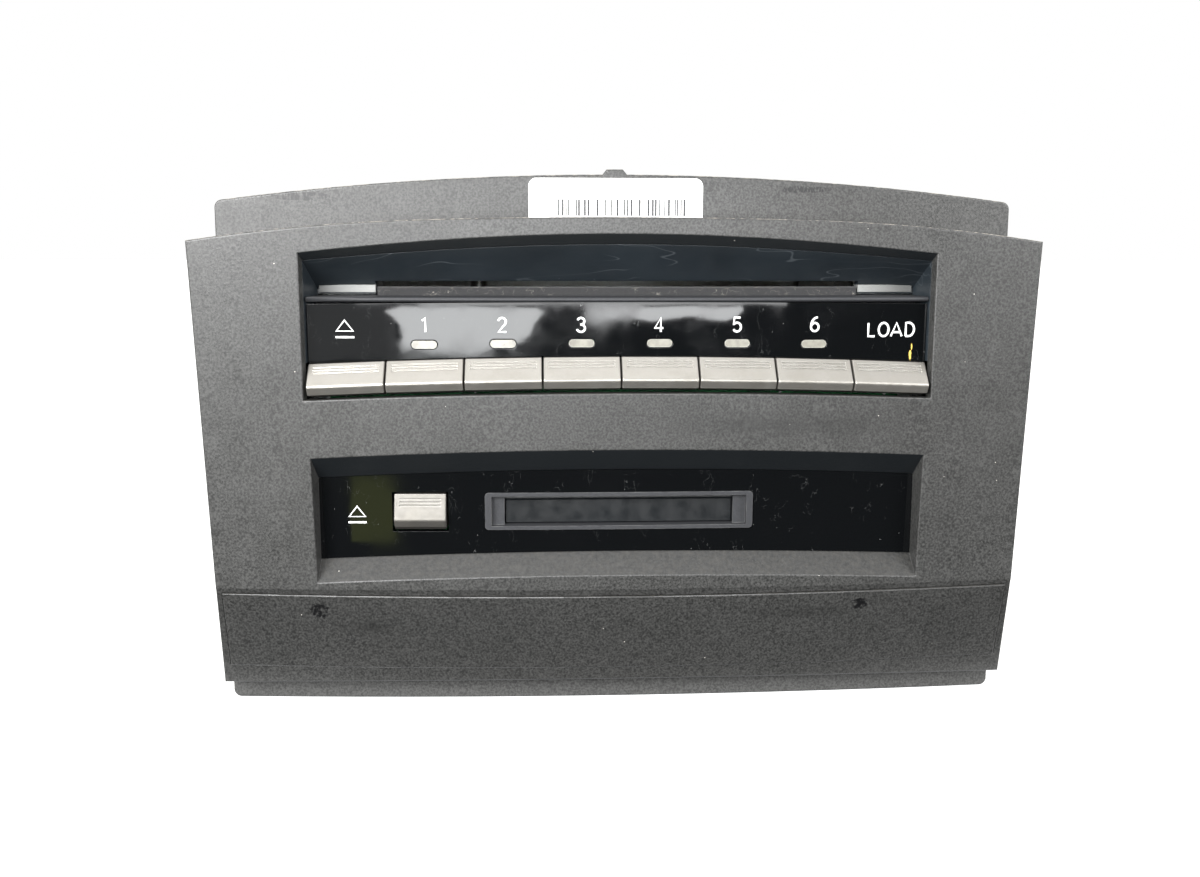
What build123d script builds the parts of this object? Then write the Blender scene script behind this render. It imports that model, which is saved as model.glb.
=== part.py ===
"""Six-disc changer for a car dashboard, with a card slot in its front panel.

Millimetres. +Z is up and the front faces -Y. While the pieces are made, y is the depth behind the
middle of the bowed face and z is the height above the feet. At the end everything slides along y,
so that the origin is the middle of the bottom of the whole unit's box.
"""

import os
from math import asin, atan2, cos, degrees, hypot, pi, sin, sqrt

from build123d import *

# ---- front panel -------------------------------------------------------------------------------
FACE_RADIUS = 1400.0  # plan radius of the bowed face
FACE_TOP = 126.6  # crown of the panel, in the middle
CROWN_HALF = 50.0  # half length of the crown's flat middle arc
CROWN_DROP = 0.8  # fall of that arc at its ends
FACE_CORNER = 120.8  # height of the top corners
FACE_TOP_HALF = 105.0
BREAK_HEIGHT = 33.8  # where the chin starts to lean back
SIDE_TAPER = 3.0  # how much the panel narrows down to the break, on each side
BREAK_HALF = FACE_TOP_HALF - SIDE_TAPER
CHIN_LOW = 7.4
CHIN_LOW_DROP = 0.8
CHIN_FLARE = 0.8
CHIN_HALF = BREAK_HALF + CHIN_FLARE
CHIN_LEAN = 15.0  # degrees
PANEL_WALL = 2.5
EDGE_ROUND = 0.4  # of the moulded edges that can be touched
PANEL_DEPTH = 13.7
FIT = 0.3  # gap between neighbours that are dropped together
CHIN_PLATE_INSET = 2.2  # from the chin's side
CHIN_PLATE_HALF = CHIN_HALF - CHIN_PLATE_INSET
CHIN_PLATE_TOP = 1.8  # below the break line, along the lean
CHIN_PLATE_HEIGHT = 21.8
CHIN_PLATE_PROUD = 0.35
CHIN_POCKET = 1.0

# ---- upper recess: disc funnel, gloss strip and keys ---------------------------------------------
UPPER_HALF = 78.4
UPPER_TOP = 122.6
UPPER_TOP_DROP = 3.0
UPPER_LOW = 83.9
UPPER_LOW_DROP = 1.8
ROOF_FALL = 1.02  # of the roof, per mm of depth, in the middle
ROOF_FALL_END = 0.77
SIDE_DRAFT = 0.2
HOOD_WALL = 2.0
HOOD_BACK = 14.0
HOOD_BACK_HALF = 77.0  # the wall around the slot, at the hood's back
HOOD_BACK_WALL = 2.2
HOOD_STEP = 1.1
ROOF_FOOT = 12.0  # depth where the roof ends
SLOT_HALF = 60.9
SLOT_LOW = 107.5
SLOT_TOP = 110.8
SHELF_TOP = 107.2
SHELF_THICK = 1.2
LIP_FRONT = 2.9
LIP_ROUND = 0.55
FELT_DEPTH = 10.4
FELT_THICK = 1.0
FELT_HEIGHT = 2.1
LIGHT_GAP = 0.05  # from the slot's end to the bar
LIGHT_LENGTH = 14.1
LIGHT_HEIGHT = 1.8
LIGHT_LOW = 108.0
LIGHT_FRONT = 11.0
LIGHT_THICK = 2.2

STRIP_FRONT = 3.5
STRIP_THICK = 2.2
STRIP_TOP = 106.0
STRIP_TOP_DROP = 0.6
STRIP_LOW_GAP = 0.25
KEY_COUNT = 8
KEY_PITCH = 19.35
KEY_GAP = 0.45
KEY_TOP = 92.5
ROW_RADIUS = 1600.0  # the key row and the strips follow this arc in front view
KEY_EDGE = 3.0  # depth of a key's upper edge
KEY_NOSE = -1.5  # depth of its nose
KEY_NOSE_DROP = 5.2
KEY_HEIGHT = 8.2
KEY_NOSE_ROUND = 1.0
KEY_END_ROUND = 0.3
KEY_BACK = 7.5
KEY_TRAVEL = 1.2  # of the joint
GROOVES = 3
GROOVE_FIRST = 1.25
GROOVE_PITCH = 0.85
GROOVE_WIDTH = 0.4
GROOVE_DEEP = 0.3
GROOVE_END = 1.3
STEM = 4.4
STEM_TIP = 13.6
CARRIER_FRONT = 9.6
CARRIER_THICK = 1.8
CARRIER_TOP = 105.2
CARRIER_TOP_WALL = 1.2
CARRIER_LOW = 84.6
LENS_WIDE = 6.2
LENS_HIGH = 1.9
LENS_HEIGHT = 95.9
LENS_FIT = 0.22
LENS_BACK = 15.3
DISC_COUNT = 6

# ---- lower recess: card panel --------------------------------------------------------------------
LOWER_HALF_TOP = 77.2
LOWER_HALF_LOW = 76.2
LOWER_TOP = 69.7
LOWER_TOP_RISE = 0.35
LOWER_LOW = 37.5
LOWER_LOW_DROP = 3.9
LOWER_FALL = 1.18
LOWER_CLIMB = 1.02
LOWER_WALL = 1.8
PANEL_FRONT = 5.1
PANEL_THICK = 2.0
PANEL_LAP = 1.2  # how far the panel reaches behind the recess walls
CARD_KEY_X = -50.6
CARD_KEY_WIDE = 13.1
CARD_KEY_TOP = 57.6
CARD_KEY_HEIGHT = 9.2
CARD_KEY_EDGE = 5.0
CARD_KEY_NOSE = 3.4
CARD_KEY_NOSE_DROP = 6.6
CARD_KEY_BACK = 9.0
CARD_KEY_FIT = 0.5
MOUTH_HALF = 32.9
MOUTH_HIGH = 8.5
MOUTH_HEIGHT = 53.1  # of its middle
MOUTH_WALL = 0.45
MOUTH_BACK = 17.0
RIM_LAP = 1.2
RIM_HIGH_LAP = 0.55
RIM_PROUD = 0.4
MOUTH_FIT = 0.2
CARD_HALF = 29.2
MOUTH_POCKET = 6.6
FLAP_THICK = 1.2
FLAP_DEPTH = 8.4
FLAP_AXIS = 56.0
FLAP_LOW = 49.6
FLAP_PIN = 0.8
FLAP_PIN_LENGTH = 2.0
FLAP_SWING = 82.0  # degrees
RUNNING = 0.05  # radial clearance of a shaft in its hole
CAGE_HALF = 30.4
CAGE_WALL = 0.8
CAGE_LOW = 48.9
CAGE_TOP = 57.3
CAGE_BACK = 104.0
CARD_RAIL = 1.5
CARD_RAIL_LOW = 53.5
CONNECTOR_LENGTH = 6.0

# ---- collar behind the panel ---------------------------------------------------------------------
COLLAR_TOP = 137.1
COLLAR_CORNER = 130.5
COLLAR_TOP_HALF = 101.1
COLLAR_LOW_HALF = 102.3
COLLAR_ROUND = 2.0
COLLAR_THICK = 2.8
COLLAR_HOLE_HALF = 79.0
COLLAR_HOLE_LOW = 38.0
COLLAR_HOLE_TOP = 113.5
COLLAR_RIB = 2.2
TAB_X = -1.0
TAB_BASE = 6.1
TAB_TOP = 4.0
TAB_HIGH = 1.25

# ---- steel housing -------------------------------------------------------------------------------
SHEET = 1.0
HOUSING_HALF = 90.0
HOUSING_FRONT = 22.0
HOUSING_BACK = 180.0
FOOT_HIGH = 2.0
FOOT_RADIUS = 6.0
FOOT_X = 70.0
FOOT_FRONT = 45.0
FOOT_BACK = 160.0
HOUSING_TOP = 118.0
VENT_ROWS = 4
VENT_COLUMNS = 9
VENT_PITCH = 12.0
VENT_LONG = 9.0
VENT_WIDE = 2.4
VENT_FRONT = 128.0
VENT_ROW_PITCH = 7.0
LID_RIB_X = 55.0
LID_RIB_DEPTH = 75.0
LID_RIB_LONG = 70.0
LID_RIB_WIDE = 4.0
LID_RIB_HIGH = 1.2
LID_SCREW_INSET = 14.0
REAR_SCREW_INSET = 11.0
SCREW_HEAD = 2.8
SCREW_HEAD_HIGH = 1.4
BRACKET_THICK = 1.5
BRACKET_EAR = 13.0
BRACKET_LOW = 22.0
BRACKET_HIGH = 108.0
BRACKET_LONG = 60.0
BRACKET_FRONT = 24.0
EAR_HOLE = 2.75
EAR_HOLE_X = 97.5
EAR_HOLE_LOW = 35.0
EAR_HOLE_HIGH = 95.0
BOARD_THICK = 1.6
RIBBON_HALF = 24.0  # opening for the flat cable between the boards
RIBBON_SLOT = 8.0
RIBBON_HEIGHT = 32.0
FRONT_BOARD_HALF = 74.0
FRONT_BOARD_LOW = 42.0
FRONT_BOARD_TOP = 104.0
FRONT_BOARD_FRONT = 17.6
SWITCH_SIZE = 6.0
SWITCH_HIGH = 2.4
LAMP_HIGH = 1.8
MAIN_BOARD_LOW = 12.0
MAIN_BOARD_HALF = 84.0
MAIN_BOARD_FRONT = 30.0
MAIN_BOARD_BACK = 168.0
POST_RADIUS = 2.5
MAIN_SOCKET = (-76.0, -28.0, MAIN_BOARD_LOW + BOARD_THICK, MAIN_BOARD_LOW + BOARD_THICK + 26.0)
ANTENNA_RADIUS = 4.0
SOCKET_PROUD = 7.0
SINK_LEFT = 28.0
SINK_RIGHT = 84.0
SINK_LOW = 18.0
SINK_TOP = 66.0
SINK_BASE = 3.0
SINK_DEEP = 12.0
FIN_COUNT = 10
FIN_THICK = 1.6

# ---- changer mechanism ---------------------------------------------------------------------------
DISC_HEIGHT = 107.8  # underside of a disc on its way in
DISC_CENTRE = 100.0  # depth of a loaded disc's middle
DISC_RADIUS = 60.0
CHASSIS_HALF = 81.2
CHASSIS_SHEET = 1.2
CHASSIS_FLOOR = 60.0
CHASSIS_FRONT = 26.0
CHASSIS_BACK = 176.0
ROOF_LOW = 112.0
ROLLER_DEPTH = 31.0
ROLLER_RADIUS = 4.0
ROLLER_HALF = 59.0
ROLLER_SHAFT = 1.5
GEAR_MODULE = 0.6
ROLLER_TEETH = 24
PINION_TEETH = 10
GEAR_WIDE = 2.5
GEAR_PLAY = 0.1  # added to the distance between two gears
GEAR_GAP = 0.8  # from the chassis wall to the gears
MOTOR_RADIUS = 6.5
MOTOR_LONG = 20.0
MOTOR_SHAFT = 0.8
TRAY_THICK = 0.8
TRAY_PITCH = 3.0
TRAY_RADIUS = 64.0
TRAY_HOLE = 22.0
TRAY_WINDOW = 16.0  # half width of the window over the pickup's path
TRAY_BACK_BAR = 8.0
TRAY_RIM = 0.9
TRAY_LIFT = 21.0  # travel of the topmost tray
EAR_RADIUS = 6.0
LIFT_X = 71.0
LIFT_DEPTH = 50.0
LIFT_REAR_X = -42.0
LIFT_REAR_DEPTH = 153.0
LIFT_RADIUS = 3.0
LIFT_END = 2.0
LIFT_PITCH = 14.0  # rise of the topmost tray for one turn
DECK_HALF = 30.0
DECK_FRONT = 76.0
DECK_TAB = 1.2
DECK_LOW = 65.0
DECK_THICK = 1.0
SPINDLE_RADIUS = 12.0
SPINDLE_SHAFT = 1.0
TURNTABLE_RADIUS = 15.0
TURNTABLE_LOW = 66.6
TURNTABLE_HIGH = 1.6
HUB_RADIUS = 7.2
HUB_HIGH = 1.2
RAIL_X = 13.0
RAIL_RADIUS = 1.25
RAIL_HEIGHT = 67.9
TRAY_GAP = 0.85  # from the pickup's rods up to the lowest tray
TRAY_LOW = RAIL_HEIGHT + RAIL_RADIUS + TRAY_GAP
RAIL_FRONT = 118.0
RAIL_BACK = 164.0
DECK_BACK = RAIL_BACK + DECK_TAB
SLED_SCREW_X = 20.0
SLED_PITCH = 3.0  # travel for one turn of its screw
SLED_LONG = 14.0
SLED_START = 120.5
SLED_TRAVEL = 26.0
CLAMP_HINGE = 170.0
CLAMP_PIN = 1.0
CLAMP_HALF = 10.0
CLAMP_SWING = 8.0  # degrees

WIDEST_HALF = max(FACE_TOP_HALF, CHIN_HALF, COLLAR_TOP_HALF, COLLAR_LOW_HALF)
KEY_NAMES = ["key_eject"] + [f"key_{n}" for n in range(1, DISC_COUNT + 1)] + ["key_load"]


# ---- shapes shared by several pieces -------------------------------------------------------------
def bow(x):
    """How far the bowed face falls back at x from the middle."""
    return FACE_RADIUS - sqrt(FACE_RADIUS**2 - x * x)


def row_drop(x):
    """How far the key row and the strips sink at x from the middle, in front view."""
    return ROW_RADIUS - sqrt(ROW_RADIUS**2 - x * x)


def block(x0, x1, y0, y1, z0, z1):
    """Box between two corners."""
    centre = Pos((x0 + x1) / 2, (y0 + y1) / 2, (z0 + z1) / 2)
    return centre * Box(abs(x1 - x0), abs(y1 - y0), abs(z1 - z0))


def along_x(radius, y, z, x0, x1):
    """Round bar along x."""
    return Pos((x0 + x1) / 2, y, z) * Rot(0, 90, 0) * Cylinder(radius, x1 - x0)


def along_y(radius, x, z, y0, y1):
    """Round bar along y."""
    return Pos(x, (y0 + y1) / 2, z) * Rot(90, 0, 0) * Cylinder(radius, y1 - y0)


def along_z(radius, x, y, z0, z1):
    """Round bar along z."""
    return Pos(x, y, (z0 + z1) / 2) * Cylinder(radius, z1 - z0)


def upright(outline, front, back):
    """Prism of a front-view outline, drawn in x and z, between two depths."""
    return extrude(Plane.XZ.offset(-back) * outline, back - front)


def bowed_slab(front, back, half=WIDEST_HALF + 10, low=-10.0, high=COLLAR_TOP + 10):
    """Slab between two faces that share the panel's bow."""
    fall = bow(half)
    near = ThreePointArc((-half, front + fall), (0, front), (half, front + fall))
    far = ThreePointArc((half, back + fall), (0, back), (-half, back + fall))
    outline = make_face([near, Line(near @ 1, far @ 0), far, Line(far @ 1, near @ 0)])
    return Pos(0, 0, low) * extrude(outline, high - low)


def crowned(half_top, top, top_drop, half_low, low, low_drop):
    """Front-view outline with straight sides and arched top and bottom."""
    over = ThreePointArc((-half_top, top - top_drop), (0, top), (half_top, top - top_drop))
    under = ThreePointArc((half_low, low - low_drop), (0, low), (-half_low, low - low_drop))
    return make_face([over, Line(over @ 1, under @ 0), under, Line(under @ 1, over @ 0)])


def throat(front, back, wall=0.0, low=UPPER_LOW, low_drop=UPPER_LOW_DROP):
    """The upper recess as a solid, between two depths, grown by a wall at its roof and sides."""

    def section(y):
        half = UPPER_HALF + wall - SIDE_DRAFT * y
        top = UPPER_TOP + wall - ROOF_FALL * y
        top_end = UPPER_TOP - UPPER_TOP_DROP + wall - ROOF_FALL_END * y
        return Plane.XZ.offset(-y) * crowned(half, top, top - top_end, half, low, low_drop)

    return loft([section(front), section(back)])


def lower_throat(front, back, wall=0.0):
    """The lower recess as a solid, between two depths, grown by a wall all round."""

    def section(y):
        half_top = LOWER_HALF_TOP + wall - SIDE_DRAFT * y
        half_low = LOWER_HALF_LOW + wall - SIDE_DRAFT * y / 4
        top = LOWER_TOP + wall - LOWER_FALL * y
        low = LOWER_LOW - wall + LOWER_CLIMB * y
        shape = crowned(half_top, top, -LOWER_TOP_RISE, half_low, low, LOWER_LOW_DROP)
        return Plane.XZ.offset(-y) * shape

    return loft([section(front), section(back)])


def chin_frame():
    """Frame of the leaning chin: its x axis is the break line."""
    return Pos(0, 0, BREAK_HEIGHT) * Rot(CHIN_LEAN, 0, 0)


def face_outline():
    """Front view of the panel: a crown of two radii, sides that narrow down to the break, a chin."""
    shoulder = FACE_TOP - CROWN_DROP
    crown = ThreePointArc((-CROWN_HALF, shoulder), (0, FACE_TOP), (CROWN_HALF, shoulder))
    right = TangentArc(crown @ 1, (FACE_TOP_HALF, FACE_CORNER), tangent=crown % 1)
    left = mirror(right, Plane.YZ)
    chin = CHIN_LOW - CHIN_LOW_DROP
    sole = ThreePointArc((CHIN_HALF, chin), (0, CHIN_LOW), (-CHIN_HALF, chin))
    edges = [crown, right, left, sole]
    for side in (-1, 1):
        edges += Polyline(
            (side * FACE_TOP_HALF, FACE_CORNER), (side * BREAK_HALF, BREAK_HEIGHT), (side * CHIN_HALF, chin)
        ).edges()
    return make_face(edges)


def slot_outline(x, z, wide, high, grow=0.0):
    """Pill-shaped outline in front view."""
    return Pos(x, z) * SlotOverall(wide + 2 * grow, high + 2 * grow)


def gear(teeth, bore, width):
    """Spur gear along z with straight-flanked teeth, thinned for play."""
    pitch_radius = teeth * GEAR_MODULE / 2
    root = pitch_radius - 1.2 * GEAR_MODULE
    tip = pitch_radius + 0.9 * GEAR_MODULE
    step = 2 * pi / teeth
    points = []
    for tooth in range(teeth):
        middle = tooth * step
        for radius, share in ((root, -0.29), (tip, -0.11), (tip, 0.11), (root, 0.29)):
            angle = middle + share * step
            points.append((radius * cos(angle), radius * sin(angle)))
    outline = make_face(Polyline(*points, close=True))
    return extrude(outline - Circle(bore), width / 2, both=True)


# ---- front panel pieces --------------------------------------------------------------------------
def make_fascia_panel():
    """Moulded panel: bowed skin with side returns, upper opening, sloped lower recess and chin pocket."""
    deep = PANEL_DEPTH + bow(FACE_TOP_HALF) + 1
    outline = face_outline()
    knife = chin_frame() * bowed_slab(-40, 0, low=-60, high=0)
    skin = (upright(outline, -1, deep) & bowed_slab(0, PANEL_DEPTH)) - knife
    inner_knife = chin_frame() * bowed_slab(-40, PANEL_WALL, low=-60, high=0)
    inside = offset(outline, -PANEL_WALL, kind=Kind.INTERSECTION)
    hollow = (upright(inside, -1, deep) & bowed_slab(PANEL_WALL, PANEL_DEPTH + 5)) - inner_knife
    panel = skin - hollow
    funnel = lower_throat(-2, PANEL_FRONT + 4, LOWER_WALL)
    funnel &= bowed_slab(PANEL_WALL - 0.5, PANEL_FRONT - 0.1)
    panel += funnel
    panel -= lower_throat(-2, PANEL_FRONT + 4)
    panel -= throat(-2, HOOD_BACK)
    panel -= chin_pocket()
    front = [edge for edge in panel.edges() if on_bow(edge) or on_bow(edge, chin_frame())]
    return fillet([edge for edge in front if is_rim(edge @ 0.5) or is_mouth(edge @ 0.5)], EDGE_ROUND)


def on_bow(edge, frame=Pos(0, 0, 0)):
    """True where an edge lies on the bowed face, or on the leaning chin when its frame is given."""
    points = [(frame.inverse() * Pos(edge @ share)).position for share in (0.1, 0.5, 0.9)]
    return all(abs(point.Y - bow(point.X)) < 0.02 for point in points)


def is_rim(point):
    """True for the middle of an edge on the panel's outer rim."""
    return abs(point.X) > BREAK_HALF - 1 or point.Z > UPPER_TOP + 1 or point.Z < CHIN_LOW + 1


def is_mouth(point):
    """True for the middle of an edge round one of the two recesses."""
    return abs(point.X) < UPPER_HALF + 1 and BREAK_HEIGHT + 1.5 < point.Z < UPPER_TOP + 1


def chin_plate_outline(inset):
    """Outline of the chin plate in the chin's own frame."""
    half = CHIN_PLATE_HALF - inset
    high = CHIN_PLATE_HEIGHT - 2 * inset
    middle = -CHIN_PLATE_TOP - CHIN_PLATE_HEIGHT / 2
    return Pos(0, middle) * Rectangle(2 * half, high)


def chin_pocket():
    """Shallow pocket that takes the chin plate."""
    shape = upright(chin_plate_outline(0), -1, 10) & bowed_slab(-1, CHIN_POCKET, low=-60, high=10)
    return chin_frame() * shape


def make_chin_trim():
    """Plate let into the chin, a little proud of it."""
    slab = bowed_slab(-CHIN_PLATE_PROUD, CHIN_POCKET, low=-60, high=10)
    plate = upright(chin_plate_outline(0.15), -2, 10) & slab
    front = [edge for edge in plate.edges() if on_bow(Pos(0, CHIN_PLATE_PROUD, 0) * edge)]
    return chin_frame() * fillet(front, CHIN_PLATE_PROUD - 0.1)


def make_slot_hood():
    """Roof and cheeks of the disc funnel, with the disc slot at the roof's foot."""
    low = KEY_TOP + STRIP_LOW_GAP
    roof = throat(0, HOOD_BACK + 3, HOOD_WALL, low) & bowed_slab(PANEL_WALL + 0.1, ROOF_FOOT + 1)
    back = bowed_slab(ROOF_FOOT, HOOD_BACK, HOOD_BACK_HALF, low, SLOT_TOP + HOOD_BACK_WALL)
    hood = roof + back
    hood -= throat(-2, HOOD_BACK + 3, 0.0, low - 10) & bowed_slab(-5, ROOF_FOOT)
    hood -= bowed_slab(ROOF_FOOT - 0.5, HOOD_BACK + 4, HOOD_BACK_HALF - HOOD_STEP, low - 5, SLOT_LOW)
    hood -= block(-SLOT_HALF, SLOT_HALF, ROOF_FOOT - 1, HOOD_BACK + 4, SLOT_LOW - 1, SLOT_TOP)
    for side in (-1, 1):
        hood -= light_bar(side, 0.1)
    return hood


def light_bar(side, grow=0.0):
    """Clear bar beside the slot, or its seat when grown."""
    inner = SLOT_HALF + LIGHT_GAP - grow
    outer = inner + LIGHT_LENGTH + 2 * grow
    bar = block(side * inner, side * outer, 0, 30, LIGHT_LOW - grow, LIGHT_LOW + LIGHT_HEIGHT + grow)
    return bar & bowed_slab(LIGHT_FRONT, LIGHT_FRONT + LIGHT_THICK + grow)


def slot_lip():
    """Matt rail under the slot: a shelf with a rounded front edge."""
    fall = bow(UPPER_HALF)
    round_front = LIP_FRONT + LIP_ROUND
    shelf = bowed_slab(round_front, HOOD_BACK - 0.2, low=SHELF_TOP - SHELF_THICK, high=SHELF_TOP)
    nose_path = ThreePointArc(
        (-UPPER_HALF, round_front + fall, SHELF_TOP - SHELF_THICK / 2),
        (0, round_front, SHELF_TOP - SHELF_THICK / 2),
        (UPPER_HALF, round_front + fall, SHELF_TOP - SHELF_THICK / 2),
    )
    nose = sweep(Plane(nose_path @ 0, z_dir=nose_path % 0) * Circle(SHELF_THICK / 2), path=nose_path)
    return shelf + nose


def make_slot_felt():
    """Felt strip that stands on the back of the shelf and closes the slot to dust."""
    strip = block(-SLOT_HALF + 0.5, SLOT_HALF - 0.5, 0, 30, SHELF_TOP, SHELF_TOP + FELT_HEIGHT)
    return strip & bowed_slab(FELT_DEPTH, FELT_DEPTH + FELT_THICK)


def key_x(index):
    """Middle of a key, from the left."""
    return (index - (KEY_COUNT - 1) / 2) * KEY_PITCH


def key_place(index):
    """Frame of a key: on the bow, square to it, and tilted with the arched row."""
    x = key_x(index)
    turn = degrees(asin(x / FACE_RADIUS))
    tilt = degrees(asin(x / ROW_RADIUS))
    return Pos(x, bow(x), KEY_TOP - row_drop(x)) * Rot(0, 0, turn) * Rot(0, tilt, 0)


def lens_x(number):
    """Middle of the lamp window above key 1 to 6."""
    return key_x(number)


def lens_height(number):
    """Height of a lamp window."""
    return LENS_HEIGHT - row_drop(lens_x(number)) / 2


def make_upper_gloss_strip():
    """Piano-black strip with six lamp windows."""
    half = UPPER_HALF
    low = KEY_TOP + STRIP_LOW_GAP
    shape = crowned(half, STRIP_TOP, STRIP_TOP_DROP, half, low, row_drop(half))
    strip = upright(shape, 0, 20) & bowed_slab(STRIP_FRONT, STRIP_FRONT + STRIP_THICK)
    strip &= throat(-2, HOOD_BACK, -FIT)
    for number in range(1, DISC_COUNT + 1):
        window = slot_outline(lens_x(number), lens_height(number), LENS_WIDE, LENS_HIGH, LENS_FIT)
        strip -= upright(window, 0, 20)
    return strip


def make_indicator_lenses():
    """Six clear light pipes, flush with the strip in front and ending before the lamps."""
    front = bowed_slab(STRIP_FRONT - 0.1, 40)
    lenses = []
    for number in range(1, DISC_COUNT + 1):
        outline = slot_outline(lens_x(number), lens_height(number), LENS_WIDE, LENS_HIGH)
        lenses.append(upright(outline, 0, LENS_BACK) & front)
    return lenses


def key_shape(width, edge, nose, nose_drop, height, back, tip):
    """Key cap in its own frame, its upper edge at z 0, with engraved lines and a square stem."""
    corner = (edge, 0)
    chin = (edge + 0.6, -height)
    low_front = (nose + 0.9, -height + 0.9)
    outline = make_face(
        Polyline((back, 0), corner, (nose, -nose_drop), low_front, chin, (back, -height), close=True)
    )
    edge_points = [v for v in outline.vertices() if abs(v.X - nose) < 1e-6]
    outline = fillet(edge_points, KEY_NOSE_ROUND)
    cap = extrude(Plane.YZ.offset(-width / 2) * outline, width)
    ends = [edge for edge in cap.edges() if abs(abs((edge @ 0.5).X) - width / 2) < 0.01]
    cap = fillet([edge for edge in ends if (edge @ 0.5).Y < back - 0.5], KEY_END_ROUND)
    run = hypot(nose - edge, nose_drop)
    slope = atan2(edge - nose, nose_drop)
    for line in range(GROOVES):
        down = GROOVE_FIRST + line * GROOVE_PITCH
        y = edge - down * sin(slope)
        z = -down * cos(slope)
        if down < run:
            cut = Box(width - 2 * GROOVE_END, 2 * GROOVE_DEEP, GROOVE_WIDTH)
            cap -= Pos(0, y, z) * Rot(-degrees(slope), 0, 0) * cut
    middle = -height / 2
    return cap + block(-STEM / 2, STEM / 2, back - 1, tip, middle - STEM / 2, middle + STEM / 2)


def make_key(index):
    """One of the eight keys, in its place."""
    tip = STEM_TIP - bow(key_x(index))
    width = KEY_PITCH - KEY_GAP
    shape = key_shape(width, KEY_EDGE, KEY_NOSE, KEY_NOSE_DROP, KEY_HEIGHT, KEY_BACK, tip)
    return key_place(index) * shape


def stem_hole(height, front, back, grow=FIT):
    """Hole for a key's stem in the key's own frame."""
    half = STEM / 2 + grow
    return block(-half, half, front, back, -height / 2 - half, -height / 2 + half)


def make_key_carrier():
    """Frame behind the strip and the keys: slot rail on top, guide holes for stems and light pipes."""
    half = UPPER_HALF
    shelf_low = SHELF_TOP - SHELF_THICK
    back = CARRIER_FRONT + CARRIER_THICK
    plate = bowed_slab(CARRIER_FRONT, back, low=CARRIER_LOW, high=shelf_low + 0.1)
    ledge_front = STRIP_FRONT + STRIP_THICK + 0.1
    low = CARRIER_TOP - CARRIER_TOP_WALL
    ledge = bowed_slab(ledge_front, CARRIER_FRONT + 0.5, low=low, high=CARRIER_TOP)
    carrier = plate + ledge + slot_lip()
    for post in range(1, KEY_COUNT):
        x = (key_x(post - 1) + key_x(post)) / 2
        low = KEY_TOP - row_drop(x) + 0.8
        rib = block(x - 0.6, x + 0.6, 0, 30, low, CARRIER_TOP)
        carrier += rib & bowed_slab(ledge_front, CARRIER_FRONT + 0.5)
    carrier &= throat(-2, HOOD_BACK + 3, -FIT)
    carrier &= block(-half, half, 0, 40, CARRIER_LOW, SHELF_TOP)
    for index in range(KEY_COUNT):
        carrier -= key_place(index) * stem_hole(KEY_HEIGHT, 0, 20)
    for number in range(1, DISC_COUNT + 1):
        outline = slot_outline(lens_x(number), lens_height(number), LENS_WIDE, LENS_HIGH, FIT)
        carrier -= upright(outline, 0, 20)
    return carrier


# ---- lower recess pieces -------------------------------------------------------------------------
def card_key_place():
    """Frame of the card key."""
    turn = degrees(asin(CARD_KEY_X / FACE_RADIUS))
    return Pos(CARD_KEY_X, bow(CARD_KEY_X), CARD_KEY_TOP) * Rot(0, 0, turn)


def make_card_key():
    """Small satin key that ejects the card."""
    tip = STEM_TIP - bow(CARD_KEY_X)
    shape = key_shape(
        CARD_KEY_WIDE, CARD_KEY_EDGE, CARD_KEY_NOSE, CARD_KEY_NOSE_DROP, CARD_KEY_HEIGHT, CARD_KEY_BACK, tip
    )
    return card_key_place() * shape


def make_lower_gloss_panel():
    """Piano-black panel behind the lower recess, with openings for the card key and the card mouth."""
    depth = PANEL_FRONT
    lap = PANEL_LAP
    half = LOWER_HALF_TOP + lap - SIDE_DRAFT * depth
    half_low = LOWER_HALF_LOW + lap
    top = LOWER_TOP - LOWER_FALL * depth + lap
    low = LOWER_LOW + LOWER_CLIMB * depth - lap
    shape = crowned(half, top, 2.0, half_low, low, 2.0)
    panel = upright(shape, 0, 20) & bowed_slab(PANEL_FRONT, PANEL_FRONT + PANEL_THICK)
    half_key = CARD_KEY_WIDE / 2 + CARD_KEY_FIT
    hole = block(-half_key, half_key, -5, 20, -CARD_KEY_HEIGHT - CARD_KEY_FIT, CARD_KEY_FIT)
    panel -= card_key_place() * hole
    return panel - mouth_outer(MOUTH_FIT, 0, 20)


def mouth_outer(grow, front, back):
    """Outside of the card mouth's tube."""
    half = MOUTH_HALF + grow
    high = MOUTH_HIGH / 2 + grow
    return block(-half, half, front, back, MOUTH_HEIGHT - high, MOUTH_HEIGHT + high)


def make_card_mouth():
    """Rim, tube and side guides of the card slot, with the flap's pin holes."""
    rim_half = MOUTH_HALF + RIM_LAP
    rim_high = MOUTH_HIGH + 2 * RIM_HIGH_LAP
    rim_outline = Pos(0, MOUTH_HEIGHT) * RectangleRounded(2 * rim_half, rim_high, 1.0)
    rim = upright(rim_outline, 0, 12) & bowed_slab(PANEL_FRONT - RIM_PROUD, PANEL_FRONT)
    mouth = rim + (mouth_outer(0, 0, MOUTH_BACK) & bowed_slab(PANEL_FRONT - RIM_PROUD / 2, 40))
    room = MOUTH_HIGH / 2 - MOUTH_WALL
    low = MOUTH_HEIGHT - room
    top = MOUTH_HEIGHT + room
    wide = MOUTH_HALF - MOUTH_WALL
    mouth -= block(-wide, wide, 0, MOUTH_POCKET, low, top)
    mouth -= block(-CARD_HALF, CARD_HALF, 0, MOUTH_BACK + 1, low, top)
    pin = CARD_HALF + FLAP_PIN_LENGTH + 0.3
    return mouth - along_x(FLAP_PIN + RUNNING, FLAP_DEPTH, FLAP_AXIS, -pin, pin)


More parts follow.
